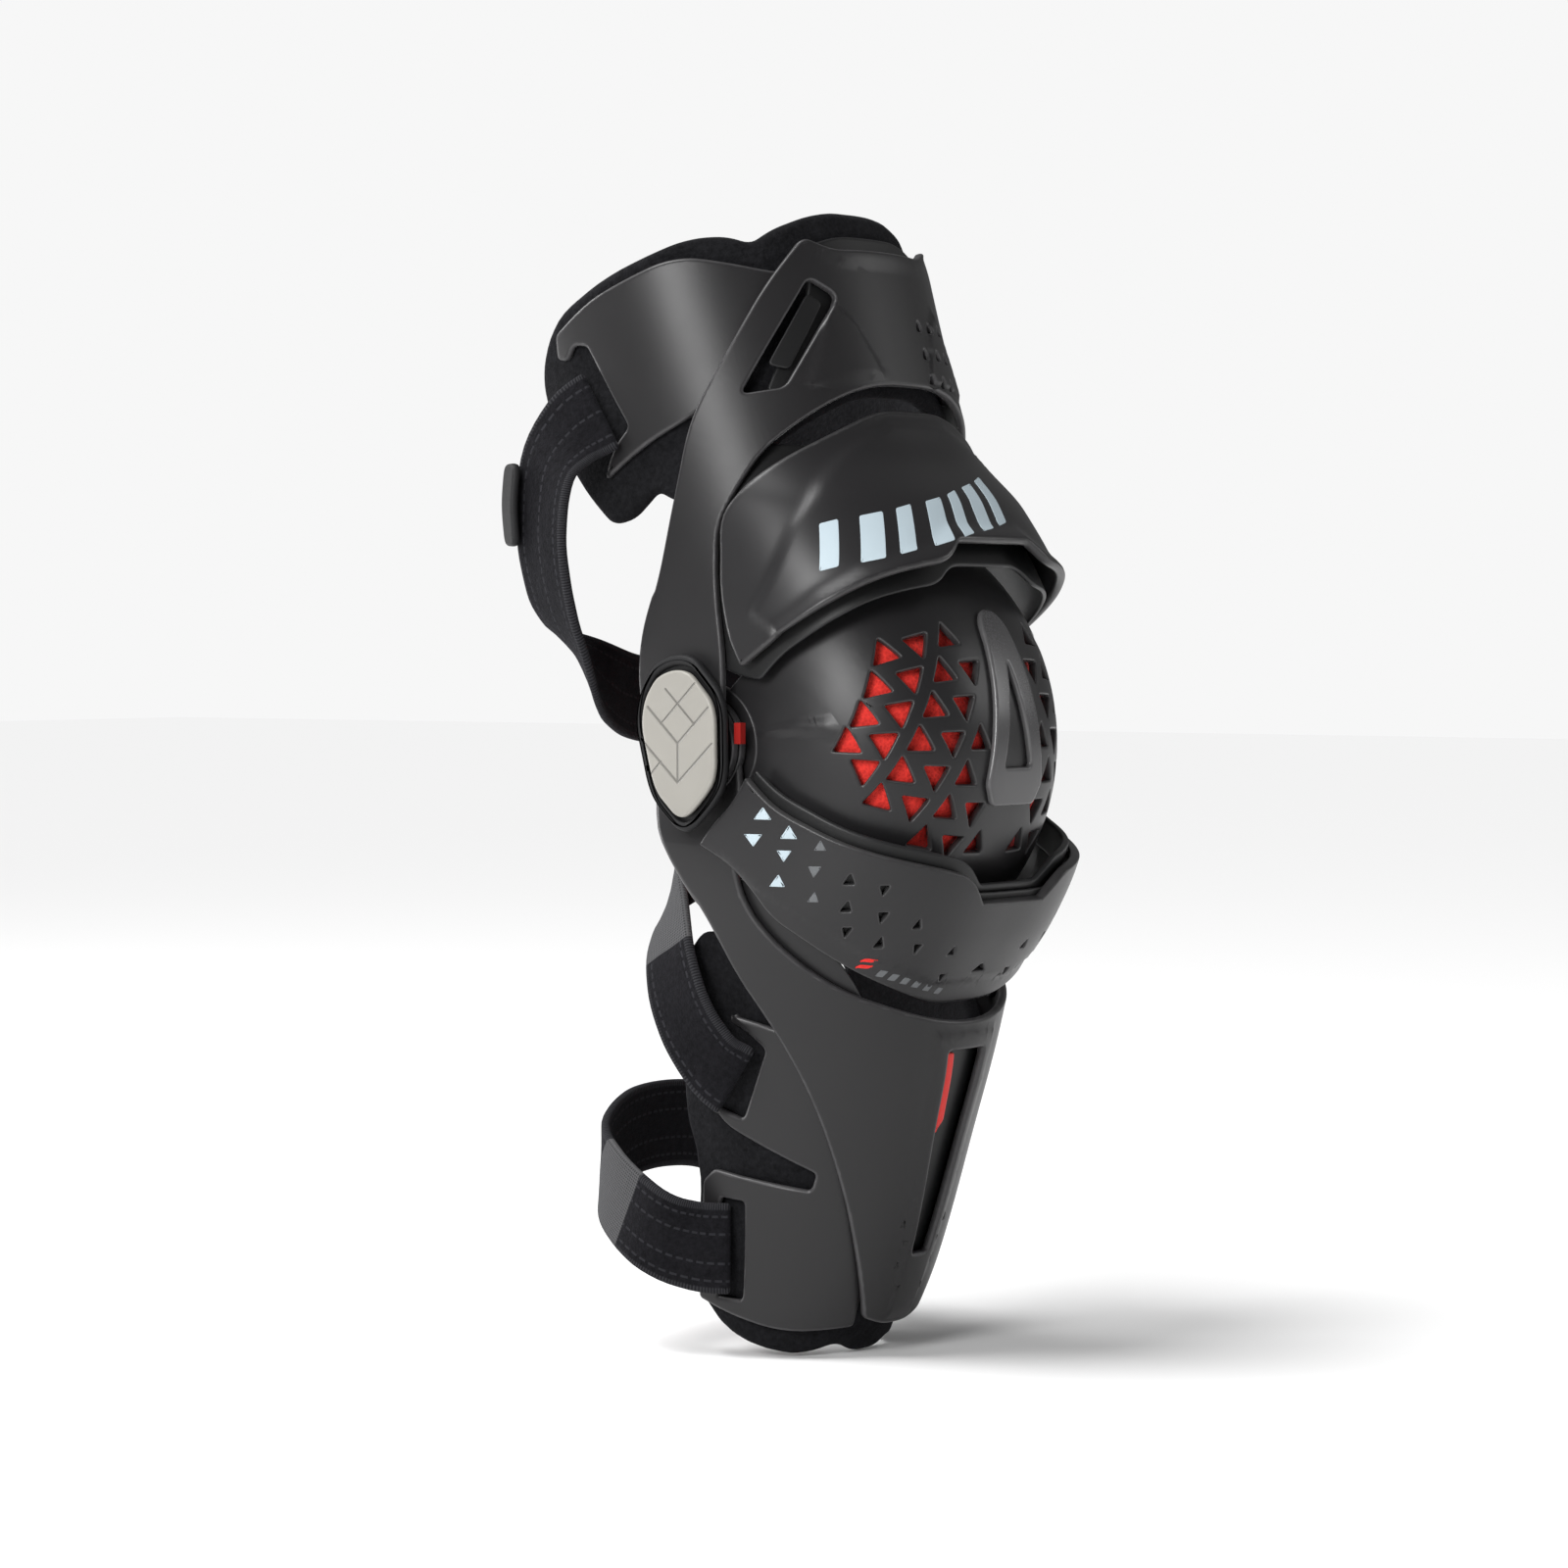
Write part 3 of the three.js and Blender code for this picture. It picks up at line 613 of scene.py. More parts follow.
class Finish:
    """A material: one shader, and the nodes that vary it."""

    def __init__(self, name, colour, roughness, pattern=True, **fixed):
        self.material = bpy.data.materials.new(name)
        self.material.use_nodes = True
        self.tree = self.material.node_tree
        self.shader = self.tree.nodes["Principled BSDF"]
        self.shader.inputs["Base Color"].default_value = (*colour, 1)
        self.shader.inputs["Roughness"].default_value = roughness
        for socket, value in fixed.items():
            self.shader.inputs[socket.replace("_", " ")].default_value = value
        self.material.diffuse_color = (*colour, 1)
        self.place = self.node("ShaderNodeTexCoord", {}, {}, "Object")
        if pattern:
            flat = self.node("ShaderNodeUVMap", {"uv_map": "flat"}, {})
            self.along = self.node("ShaderNodeSeparateXYZ", {}, {0: flat}, "X")
            self.across = self.node("ShaderNodeSeparateXYZ", {}, {0: flat}, "Y")
            self.edge = self.node("ShaderNodeAttribute", {"attribute_name": "edge"}, {}, "Fac")

    def node(self, kind, settings, sockets, output=0):
        """Adds a node with its settings and its sockets' values or links, and returns an output."""
        made = self.tree.nodes.new(kind)
        for key, value in settings.items():
            setattr(made, key, value)
        for key, value in sockets.items():
            if isinstance(value, Number):
                self.tree.links.new(value.socket, made.inputs[key])
            else:
                made.inputs[key].default_value = value
        return Number(self, made.outputs[output])

    def noise(self, scale, detail=2.0, roughness=0.5):
        """Soft noise with a number of repeats to the metre."""
        sockets = {"Vector": self.place, "Scale": scale, "Detail": detail, "Roughness": roughness}
        return self.node("ShaderNodeTexNoise", {}, sockets, 0)

    def cells(self, scale):
        """Small round cells, with a number of them to the metre."""
        sockets = {"Vector": self.place, "Scale": scale}
        return self.node("ShaderNodeTexVoronoi", {"feature": "F1"}, sockets, "Distance")

    def line(self, places, width):
        """1 along a line through flat places in millimetres, falling to 0 at its sides."""
        result = None
        for (ax, ay), (bx, by) in zip(places, places[1:]):
            dx, dy = bx - ax, by - ay
            x, y = self.along - ax, self.across - ay
            t = ((x * dx + y * dy) / (dx * dx + dy * dy)).math("ADD", 0.0, clamp=True)
            ex, ey = x - t * dx, y - t * dy
            away = (ex * ex + ey * ey).math("SQRT")
            near = (1 - away / width).math("ADD", 0.0, clamp=True)
            result = near if result is None else result.math("MAXIMUM", near)
        return result

    def blend(self, factor, first, second):
        """A colour between two colours, which are triples or links."""
        first = (*first, 1) if isinstance(first, tuple) else first
        second = (*second, 1) if isinstance(second, tuple) else second
        sockets = {"Factor": factor, 6: first, 7: second}
        return self.node("ShaderNodeMix", {"data_type": "RGBA"}, sockets, 2)

    def set(self, socket, value):
        self.tree.links.new(value.socket, self.shader.inputs[socket])

    def bump(self, height, strength, distance, after=None):
        sockets = {"Height": height, "Strength": strength, "Distance": distance}
        if after:
            sockets["Normal"] = after
        result = self.node("ShaderNodeBump", {}, sockets, "Normal")
        self.set("Normal", result)
        return result

    def on(self, *pieces):
        for piece in pieces:
            piece.data.materials.clear()
            piece.data.materials.append(self.material)


def moulded_plastic(name, colour, edge_wear_and_highlight_colour, roughness, grain=0.10, lines=(), shine=0.34):
    """Satin moulded plastic with a fine spark texture, and edges lighter: partly wear, partly a
    painted highlight.
    """
    f = Finish(name, colour, roughness, Specular_IOR_Level=shine)
    fine = f.noise(1700, 2.0, 0.6)
    broad = f.noise(28, 3.0, 0.55)
    scuffs = f.noise(160, 4.0, 0.65)
    # The rounded edges are lighter, partly from wear and partly as a painted highlight along them.
    edge_wear_and_highlight = (f.edge * (0.1 + scuffs * 0.7)).math("MULTIPLY", 1.0, clamp=True)
    tint = f.blend(broad.above(0.5, 0.5) * 0.35, colour, tuple(c * 1.3 for c in colour))
    shade = f.blend(edge_wear_and_highlight, tint, edge_wear_and_highlight_colour)
    fine_lines = None
    for places, width in lines:
        line = f.line(places, width)
        fine_lines = line if fine_lines is None else fine_lines.math("MAXIMUM", line)
    if lines:
        # The engraved lines are painted darker, a painted shade in their grooves.
        shade = f.blend(fine_lines * 0.55, shade, tuple(c * 0.3 for c in colour))
    f.set("Base Color", shade)
    f.set("Roughness", roughness - 0.05 + broad * 0.10 + fine * 0.05 - edge_wear_and_highlight * 0.06)
    rough = f.bump(fine, grain, 0.00008)
    worked = f.bump(scuffs, 0.05, 0.0001, rough)
    if lines:
        f.bump(1 - fine_lines, 0.9, 0.0007, worked)
    return f


# The second colour of each plastic is its lighter edge: wear and a painted highlight.
charcoal = moulded_plastic("charcoal_plastic", (0.0108, 0.0103, 0.011), (0.075, 0.073, 0.076), 0.36)
shield_plastic = moulded_plastic(
    "shield_plastic", (0.0112, 0.0107, 0.0115), (0.06, 0.059, 0.06), 0.34
)
black_plastic = moulded_plastic("black_plastic", (0.005, 0.005, 0.0053), (0.02, 0.02, 0.021), 0.42)
# Plain cross lines and a chevron are engraved in the hinge cover, and painted darker as shade in
# their grooves.
COVER_LINES = (
    (((-12.5, 13), (0, 1), (12.5, 13)), 0.55),
    (((-14, 1), (0, -12), (14, 1)), 0.55),
    (((0, 1), (0, -12)), 0.45),
    (((-7, 7.4), (7, 21)), 0.45),
    (((7, 7.4), (-5, 19)), 0.45),
    (((-7, -5), (-12, -10)), 0.4),
)
grey_plastic = moulded_plastic(
    "grey_plastic", (0.235, 0.226, 0.205), (0.33, 0.32, 0.29), 0.38, 0.2, COVER_LINES
)
red_plastic = moulded_plastic("red_plastic", (0.62, 0.012, 0.008), (0.66, 0.03, 0.02), 0.35)
dark_red_plastic = moulded_plastic(
    "dark_red_plastic", (0.24, 0.008, 0.006), (0.3, 0.02, 0.015), 0.4
)
pale_print = moulded_plastic("pale_print", (0.36, 0.43, 0.47), (0.38, 0.45, 0.49), 0.5, 0.05)
grey_print = moulded_plastic("grey_print", (0.10, 0.105, 0.11), (0.12, 0.12, 0.13), 0.42, 0.05)
# The emblem's plastic is lighter than the cup's, partly as a painted highlight for its gloss.
emblem_plastic = moulded_plastic(
    "emblem_plastic", (0.055, 0.054, 0.056), (0.12, 0.118, 0.12), 0.24, 0.04, shine=0.5
)


def rubber_finish():
    f = Finish("black_rubber", (0.008, 0.008, 0.0085), 0.6, Specular_IOR_Level=0.25)
    fine = f.noise(900, 3.0)
    broad = f.noise(45, 2.0)
    dull = broad * 0.6 + f.edge * 0.25
    f.set("Base Color", f.blend(dull, (0.005, 0.005, 0.0055), (0.014, 0.014, 0.015)))
    f.set("Roughness", 0.5 + fine * 0.2)
    f.bump(fine, 0.12, 0.0001)
    return f


def foam_finish():
    f = Finish("red_foam", (0.72, 0.02, 0.012), 0.8, pattern=False, Sheen_Weight=0.2)
    pores = f.cells(900)
    broad = f.noise(60, 3.0)
    # The pits of the pores are painted darker, a painted shade in them; the broad noise adds random
    # tone.
    bright = pores * 0.8 + broad * 0.5 - 0.25
    f.set("Base Color", f.blend(bright, (0.55, 0.010, 0.006), (0.95, 0.035, 0.02)))
    f.bump(pores, 0.7, 0.0004)
    return f


def fleece_finish(name, colour, light, pattern=False):
    """Brushed loop fabric: a nap of short fibres with fine pills, and the raised nap painted
    lighter as a sheen.
    """
    sheen = {"Sheen_Weight": 0.05, "Sheen_Roughness": 0.5}
    f = Finish(name, colour, 0.95, pattern, Specular_IOR_Level=0.08, **sheen)
    f.shader.inputs["Sheen Tint"].default_value = (0.4, 0.4, 0.45, 1)
    loops = f.cells(1100)
    nap = f.noise(520, 5.0, 0.7)
    broad = f.noise(70, 3.0)
    # The raised nap is painted lighter towards the second colour, a painted sheen, with random tone
    # from the broad noise.
    f.set("Base Color", f.blend(nap * 1.5 + broad * 0.5 - 0.65, colour, light))
    first = f.bump(nap, 0.75, 0.0006)
    f.bump(loops, 0.35, 0.0003, first)
    return f


def strap_finish(name, width, rows, mesh=None):
    """Loop-faced webbing: nap, woven selvedges, rows of stitching, and a stretch of open mesh."""
    selvedge_width, rib_pitch, mesh_pitch, stitch_pitch = 2.2, 0.9, 1.1, 3.4
    # The second colour is the painted sheen on the raised nap.
    f = fleece_finish(name, (0.0026, 0.0026, 0.0032), (0.0125, 0.012, 0.0145), pattern=True)
    colour = f.shader.inputs["Base Color"].links[0].from_socket
    selvedge = f.across.math("ABSOLUTE").above(width / 2 - selvedge_width, 0.6)
    ribs = (f.along.repeat(rib_pitch) - 0.5).math("ABSOLUTE") * 2
    thread = None
    for row in rows:
        stitch = (f.along + row).repeat(stitch_pitch).below(0.66)
        line = (f.across - row).math("ABSOLUTE").below(0.42) * stitch
        thread = line if thread is None else thread.math("MAXIMUM", line)
    shade = f.blend(selvedge * ribs, Number(f, colour), (0.03, 0.03, 0.033))
    shade = f.blend(thread * 0.6, shade, (0.028, 0.028, 0.032))
    if mesh:
        first, last = mesh
        part = f.along.above(first, 0.6) * f.along.below(last - f.across.math("ABSOLUTE") * 0.35)
        warp = (f.along.repeat(rib_pitch) - 0.5).math("ABSOLUTE") * 2
        weft = (f.across.repeat(mesh_pitch) - 0.5).math("ABSOLUTE") * 2
        cord = warp.math("MAXIMUM", weft)
        shade = f.blend(part, shade, f.blend(cord, (0.006, 0.006, 0.006), (0.085, 0.085, 0.088)))
    f.set("Base Color", shade)
    groove = None
    for row in rows:
        dip = (f.across - row).math("ABSOLUTE").below(0.9)
        groove = dip if groove is None else groove.math("MAXIMUM", dip)
    before = f.shader.inputs["Normal"].links[0].from_socket
    f.bump(thread * 0.8 - groove + selvedge * ribs * 0.5, 0.5, 0.0006, Number(f, before))
    return f


rubber = rubber_finish()
red_foam = foam_finish()
# The second colour is the painted sheen on the raised nap.
liner_fleece = fleece_finish("liner_fleece", (0.0028, 0.0028, 0.0032), (0.016, 0.016, 0.018))
thigh_webbing = strap_finish("thigh_webbing", 30, (-9.5, 0.5, 10))
upper_webbing = strap_finish("upper_calf_webbing", 27, (-9, 9), (52, 84))
lower_webbing = strap_finish("lower_calf_webbing", 31, (-11, -5, 5, 11), (40, 66))
steel = Finish("brushed_steel", (0.45, 0.45, 0.45), 0.3, pattern=False, Metallic=1.0)
steel.set("Roughness", 0.22 + steel.noise(600, 3.0) * 0.2)

# ---------- pieces ----------


def keep(piece, finish, body, slot, *nodes):
    """Gives a finished piece its material and its body, and hides the parts it stands for. Its slot
    is not used.
    """
    finish.on(piece)
    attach(piece, body)
    if nodes:
        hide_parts(*nodes)
    return piece


# Depths under a form's face and wall thicknesses that pieces share.
SHIELD_WALL = 3.5
PANEL_TOP = -3.6
PANEL_WALL = 2.6
LINER_TOP = -6.8
LINER_WALL = 5.8

THIGH, CUP, SHIN = "thigh", "cup", "shin"

# --- thigh cuff ---

thigh_frame_half = [
    (14, 104.5), (33, 98), (52, 88), (62, 78), (71, 68), (77, 46), (80, 26), (84, 8), (84, 0),
    (96, 0), (97, 24), (94, 40), (84, 72), (78, 86), (70, 104), (57, 120), (38, 144), (25, 157),
    (17, 152),
]
thigh_slot = [(-26, 143), (-18, 136), (-41, 107), (-54, 108)]
frame_vents = []
for height in (127, 117, 107.5):
    for angle in (9, 15, 21):
        foot = height - 2
        frame_vents.append([(angle - 1.6, foot), (angle + 1.6, foot), (angle, height + 2.4)])
# A triangular field beside each slot and a rim along the top stand a little proud.
slot_field = [(-21, 134), (-15, 127), (-8, 107), (-34, 105.5)]
top_rim = [
    (-27, 158), (-16, 154), (16, 154), (27, 158), (23, 151), (14, 147.5), (-14, 147.5), (-23, 151),
]
frame_relief = raised(
    thigh_form, [(slot_field, 0.9, 1.6), (mirrored(slot_field), 0.9, 1.6), (top_rim, 0.7, 2.4)]
)
piece = panel(
    "thigh_frame_moulding", thigh_form, both_sides(thigh_frame_half), [thigh_slot, *frame_vents],
    rounding=0.9, pitch=2, corner=3, relief=frame_relief,
)
keep(piece, charcoal, THIGH, "charcoal_plastic", "thigh_frame")

slot_plate = [(-27, 138), (-23, 134), (-38, 113), (-44, 116)]
piece = panel("thigh_slot_plate", thigh_form, slot_plate, top=-1.2, wall=1.6, rounding=0.4, pitch=2)
keep(piece, black_plastic, THIGH, "black_plastic", "slot_plate")

thigh_wing = [
    (-28, 146), (-36, 148), (-58, 158), (-66, 159), (-89, 155), (-100, 149), (-101.5, 141),
    (-98, 139), (-95, 143), (-91.5, 141), (-87.5, 110), (-91, 106), (-94, 100.5), (-95.5, 96),
    (-85, 102), (-69, 106), (-54, 112),
]
for outline, word in ((thigh_wing, "left"), (mirrored(thigh_wing), "right")):
    piece = panel(
        f"thigh_side_panel_{word}", thigh_form, outline, top=PANEL_TOP, wall=PANEL_WALL,
        rounding=1.25,
    )
    keep(piece, charcoal, THIGH, "charcoal_plastic", f"thigh_wing_{word}")

carrier_half = [(14, 107), (35, 104), (46, 108), (24, 140), (22, 155), (12, 158)]
piece = panel(
    "thigh_front_carrier", thigh_form, both_sides(carrier_half), top=PANEL_TOP, wall=PANEL_WALL
)
keep(piece, black_plastic, THIGH, "black_plastic", "thigh_liner_carrier")

thigh_liner_half = [
    (12, 103), (30, 97), (60, 85), (78, 79), (83, 81), (87, 87), (93, 81), (99, 82), (106, 95),
    (112, 110), (116, 128), (114, 141), (102, 155), (85, 161), (57, 165), (45, 163), (38, 159),
    (30, 163), (13, 168),
]
piece = panel(
    "thigh_liner_pad", thigh_form, both_sides(thigh_liner_half), top=LINER_TOP, wall=LINER_WALL,
    rounding=2.6, pitch=3.4, corner=4, relief=fluff(0.35),
)
keep(piece, liner_fleece, THIGH, "liner_fabric", "thigh_liner")

upper_shield_half = [
    (10, 67), (16, 60.5), (30, 58), (44, 54), (60, 46), (76, 34), (82.5, 26), (84.6, 36), (85, 52),
    (79.4, 76), (70, 85.5), (52, 95.5), (28, 106), (12, 113),
]
# The front field, over a soft crease, and the flared lower rim.
front_field = [
    (10, 50), (40, 40), (70, 34), (79, 44), (72, 56), (60, 73), (45, 87), (28, 99), (10, 108),
]
flare = [
    (10, 40), (40, 30), (80, 16), (73, 39), (60, 50), (45, 57.5), (31, 61.5), (19, 64.5), (10, 71),
]
upper_relief = raised(
    upper_form, [(both_sides(front_field), 1.0, 2.2), (both_sides(flare), 2.2, 7.0)]
)
piece = panel(
    "upper_knee_shield_shell", upper_form, both_sides(upper_shield_half), wall=SHIELD_WALL,
    rounding=1.3, pitch=1.8, relief=upper_relief,
)
keep(piece, shield_plastic, THIGH, "charcoal_plastic", "upper_knee_shield")

upper_lip_half = [
    (9.5, 63), (16, 56.5), (30, 54), (44, 50), (60, 42), (75, 30.5), (80.5, 22), (86, 24), (91, 36),
    (92, 52), (88, 64), (84, 76), (77, 88), (68, 97), (58, 102), (45, 103), (30, 102), (12, 101),
]
piece = panel(
    "upper_shield_inner_shell", upper_form, both_sides(upper_lip_half), top=-5.7, wall=1.5,
    rounding=0.6,
)
keep(piece, black_plastic, THIGH, "black_plastic", "upper_shield_lip")

# A row of plain slanted bars is printed across the upper shield, climbing towards the front.
BAR_COUNT = 7
BAR_HEIGHT = 15.5
BAR_SLANT = 6.5
BAR_FOOT = 57.5
BAR_CLIMB = 15.5
first_bar = upper_form.flat(-58, 60)[0]
bar_pitch = (upper_form.flat(12, 60)[0] - first_bar) / BAR_COUNT
for i in range(BAR_COUNT):
    left = first_bar + i * bar_pitch
    base = BAR_FOOT + BAR_CLIMB * i / (BAR_COUNT - 1)
    rise = BAR_CLIMB * 0.6 / (BAR_COUNT - 1)
    width = bar_pitch * (0.62 if i % 2 else 0.48)
    bar = [
        (left, base), (left + width, base + rise),
        (left + width + BAR_SLANT, base + rise + BAR_HEIGHT), (left + BAR_SLANT, base + BAR_HEIGHT),
    ]
    bar = [upper_form.chart(*p) for p in bar]
    piece = panel(
        f"shield_print_bar_{i + 1}", upper_form, bar, top=0.12, wall=0.5, rounding=0.06, pitch=1.4,
        corner=0.8, relief=upper_relief,
    )
    keep(piece, pale_print, THIGH, "grey_plastic")

# --- knee cup ---

cup_half = [
    (40, -60), (70, -58), (88, -58), (98, -60), (104, -60), (104, 60), (98, 56), (88, 50), (70, 47),
    (40, 46),
]
LATTICE_PITCH = 12.4
LATTICE_SIZE = 5.9
LATTICE_ROWS = [
    (21, 18, 57), (12.5, 18, 57), (4, 18, 72), (-4.5, 18, 72), (-13, 18, 63), (-21.5, 18, 57),
    (-30, 6, 45),
]


def triangle_at(length, angle, size, up):
    rise = math.degrees(size) / cup_form.profile(length)[1] * (1 if up else -1)
    corners = [math.radians(corner) for corner in (90, 210, 330)]
    return [(length + size * math.cos(a), angle + rise * math.sin(a)) for a in corners]


cup_vents = []
for r, (angle, first, end) in enumerate(LATTICE_ROWS):
    k = 0
    while k * LATTICE_PITCH + (r % 2) * LATTICE_PITCH / 2 <= end:
        length = k * LATTICE_PITCH + (r % 2) * LATTICE_PITCH / 2
        if length >= first:
            hole = triangle_at(length, angle, LATTICE_SIZE, (k + r // 2) % 2 == 0)
            cup_vents += [hole, mirrored(hole)]
        k += 1
# A low fin runs in from each side.
fin = [(-99, 8), (-72, 5.4), (-72, -1.6), (-99, 4)]
piece = panel(
    "knee_cup_shell", cup_form, both_sides(cup_half), cup_vents, wall=3, rounding=0.65, pitch=2.6,
    corner=1.2, relief=raised(cup_form, [(fin, 0.6, 1.2), (mirrored(fin), 0.6, 1.2)]),
)
keep(piece, shield_plastic, CUP, "charcoal_plastic", "knee_cup")

foam_half = [(45, -40), (72, -30), (84, 0), (72, 28), (45, 32)]
piece = panel(
    "cup_foam_pad", cup_form, both_sides(foam_half), top=-4.6, wall=5.6, rounding=2.4, pitch=3.4,
    corner=5, relief=fluff(0.3),
)
plumped(piece, voxel=4, cap=0.8, pressure=3)
keep(piece, red_foam, CUP, "red_foam", "cup_foam")

emblem = [(-12, -20), (12, -20), (16, -15), (7, 24), (3, 27), (-3, 27), (-7, 24), (-16, -15)]
emblem_window = [(-8, -11), (8, -11), (0, 14)]
piece = panel(
    "cup_emblem_plate", cup_form, emblem, [emblem_window], top=2.1, wall=2.4, rounding=0.9, pitch=2,
    corner=2,
)
keep(piece, emblem_plastic, CUP, "charcoal_plastic", "cup_emblem")

# --- shin cuff ---

shin_frame_half = [
    (8, -195), (20, -192), (31, -172), (42, -148), (54, -124), (65, -104), (74, -89), (82, -76),
    (91, -50), (97, -27), (96, 0), (84, 0), (82, -18), (83, -32), (80, -50), (69, -64), (50, -77),
    (13, -87),
]
shin_window = [(-9, -97), (9, -97), (8, -130), (5, -169), (-5, -169), (-7, -130)]
window_field = [(-15, -91), (15, -91), (13, -132), (8, -192), (-8, -192), (-11, -132)]
shin_relief = raised(shin_form, [(window_field, 0.8, 2.4)])
piece = panel(
    "shin_frame_moulding", shin_form, both_sides(shin_frame_half), [shin_window], rounding=1.2,
    pitch=2.2, relief=shin_relief,
)
keep(piece, charcoal, SHIN, "charcoal_plastic", "shin_frame")

shin_wing = [
    (-88, -91), (-74, -93), (-56, -97), (-44, -122), (-34, -148), (-24, -172), (-20, -197),
    (-54, -199), (-78, -195.5), (-99, -191), (-99, -150), (-94, -145), (-68, -147), (-55, -148),
    (-54, -142), (-90, -129), (-95, -123), (-84, -126), (-76, -101),
]
wing_slot = [(-91, -154.5), (-81.5, -154.5), (-77.5, -189), (-90, -189)]
for outline, slot, word in (
    (shin_wing, wing_slot, "left"),
    (mirrored(shin_wing), mirrored(wing_slot), "right"),
):
    piece = panel(
        f"shin_side_panel_{word}", shin_form, outline, [slot], top=PANEL_TOP, wall=PANEL_WALL,
        rounding=1.25,
    )
    keep(piece, charcoal, SHIN, "charcoal_plastic", f"shin_wing_{word}")

SHIN_VENTS = ((13.5, -158, 1.9), (10.5, -165, 1.8), (11.5, -173, 1.8), (8, -181, 1.6))
for i, (u, v, size) in enumerate(SHIN_VENTS):
    vent = small_triangle(u, v, size, i % 2 == 0)
    for outline, word in ((vent, "right"), (mirrored(vent), "left")):
        piece = panel(
            f"shin_vent_{word}_{i + 1}", shin_form, outline, top=0.1, wall=0.4, rounding=0.05,
            corner=0.3, relief=shin_relief,
        )
        keep(piece, black_plastic, SHIN, "black_plastic")

side_backing = [
    (40, -84), (46, -72), (56, -61), (66, -51), (76, -41), (84, -44), (80, -58), (70, -72),
    (58, -80), (46, -86),
]
for outline, word in ((mirrored(side_backing), "left"), (side_backing, "right")):
    piece = panel(
        f"shin_side_backing_{word}", shin_form, outline, top=PANEL_TOP, wall=1.6, rounding=0.5
    )
    keep(piece, charcoal, SHIN, "charcoal_plastic", f"shin_backing_{word}")

window_back_half = [(12, -188), (20, -170), (28, -148), (30, -122), (30, -92)]
piece = panel(
    "shin_window_backing", shin_form, both_sides(window_back_half), top=PANEL_TOP, wall=PANEL_WALL
)
keep(piece, black_plastic, SHIN, "black_plastic", "shin_window_back")

window_insert = [(-8.4, -98), (-5, -98), (-3, -122), (-6.6, -127)]
piece = panel(
    "shin_window_strip", shin_form, window_insert, top=-0.6, wall=2.3, rounding=0.6, pitch=2,
    corner=1,
)
keep(piece, red_plastic, SHIN, "red_plastic", "shin_window_insert")

shin_liner_half = [
    (10, -209), (22, -205), (42, -209), (70, -206), (90, -200), (108, -187), (104, -148),
    (114, -126), (108, -84), (92, -64), (80, -70), (60, -84), (30, -92),
]
piece = panel(
    "shin_liner_pad", shin_form, both_sides(shin_liner_half), top=LINER_TOP, wall=LINER_WALL,
    rounding=2.6, pitch=3.4, corner=4, relief=fluff(0.35),
)
keep(piece, liner_fleece, SHIN, "liner_fabric", "shin_liner")

lower_shield_half = [
    (10, -87), (29, -80.5), (50, -72), (75, -56), (80.5, -47), (84.6, -40), (89.2, -32.5),
    (87.6, -26), (84.4, -19), (81.8, -10), (76, -20), (59, -31), (44, -36), (22, -41), (15, -43),
    (8, -52),
]

RECESSES = [
    (-55, -43, 2.2, True), (-44, -46, 2.0, False), (-54, -52, 2.2, True), (-42, -55, 2.2, False),
    (-29, -58, 2.0, True), (-52, -60, 2.0, False), (-40, -64, 2.2, True), (-26, -66, 2.0, False),
    (-12, -68, 1.8, True), (-11, -77, 1.6, False), (0, -75, 1.6, True),
]
recesses = [small_triangle(*row) for row in RECESSES]
# The field above the crease stands proud of the band below it.
upper_field = [
    (14, -79), (30, -73), (48, -66), (65, -56.5), (79, -47), (86, -37), (92, -27), (88, -5),
    (60, -10), (12, -20),
]
lower_relief = raised(lower_form, [(both_sides(upper_field), 0.9, 1.8)])
piece = panel(
    "lower_knee_shield_shell", lower_form, both_sides(lower_shield_half),
    recesses + [mirrored(hole) for hole in recesses if hole[2][0] < -4], wall=SHIELD_WALL,
    rounding=0.7, pitch=1.9, corner=0.5, relief=lower_relief,
)
keep(piece, shield_plastic, SHIN, "charcoal_plastic", "lower_knee_shield")

# The backing shows black at the bottom of the recesses, darker than the shell: a painted shade in
# them.
recess_backing = [
    (-62, -38), (-20, -50), (20, -50), (62, -38), (60, -62), (30, -76), (6, -82), (-6, -82),
    (-30, -76), (-60, -62),
]
piece = panel("lower_shield_backing", lower_form, recess_backing, top=-2.2, wall=1.0, rounding=0.3)
keep(piece, black_plastic, SHIN, "black_plastic")

PALE_TRIANGLES = [
    (-78, -22, 2.6, True), (-80, -30, 2.6, False), (-72, -28, 2.8, True), (-73, -35, 2.4, False),
    (-74, -44, 2.6, True),
]
GREY_TRIANGLES = [(-65, -40, 2.4, False), (-64, -32, 2.2, True), (-64, -49, 2.2, True)]
for rows, finish, word in (
    (PALE_TRIANGLES, pale_print, "pale"),
    (GREY_TRIANGLES, grey_print, "grey"),
):
    for i, row in enumerate(rows):
        piece = panel(
            f"shield_print_{word}_{i + 1}", lower_form, small_triangle(*row), top=0.1, wall=0.4,
            rounding=0.06, pitch=1.5, corner=0.4, relief=lower_relief,
        )
        keep(piece, finish, SHIN, "grey_plastic")


def slanted_dash(u, v, width, height):
    """A small slanted bar on the lower shield, by its lower left corner."""
    x, y = lower_form.flat(u, v)
    slant, drop = 1.6, 0.5
    corners = [
        (x, y), (x + width, y - drop),
        (x + width + slant, y - drop + height), (x + slant, y + height),
    ]
    return [lower_form.chart(*p) for p in corners]


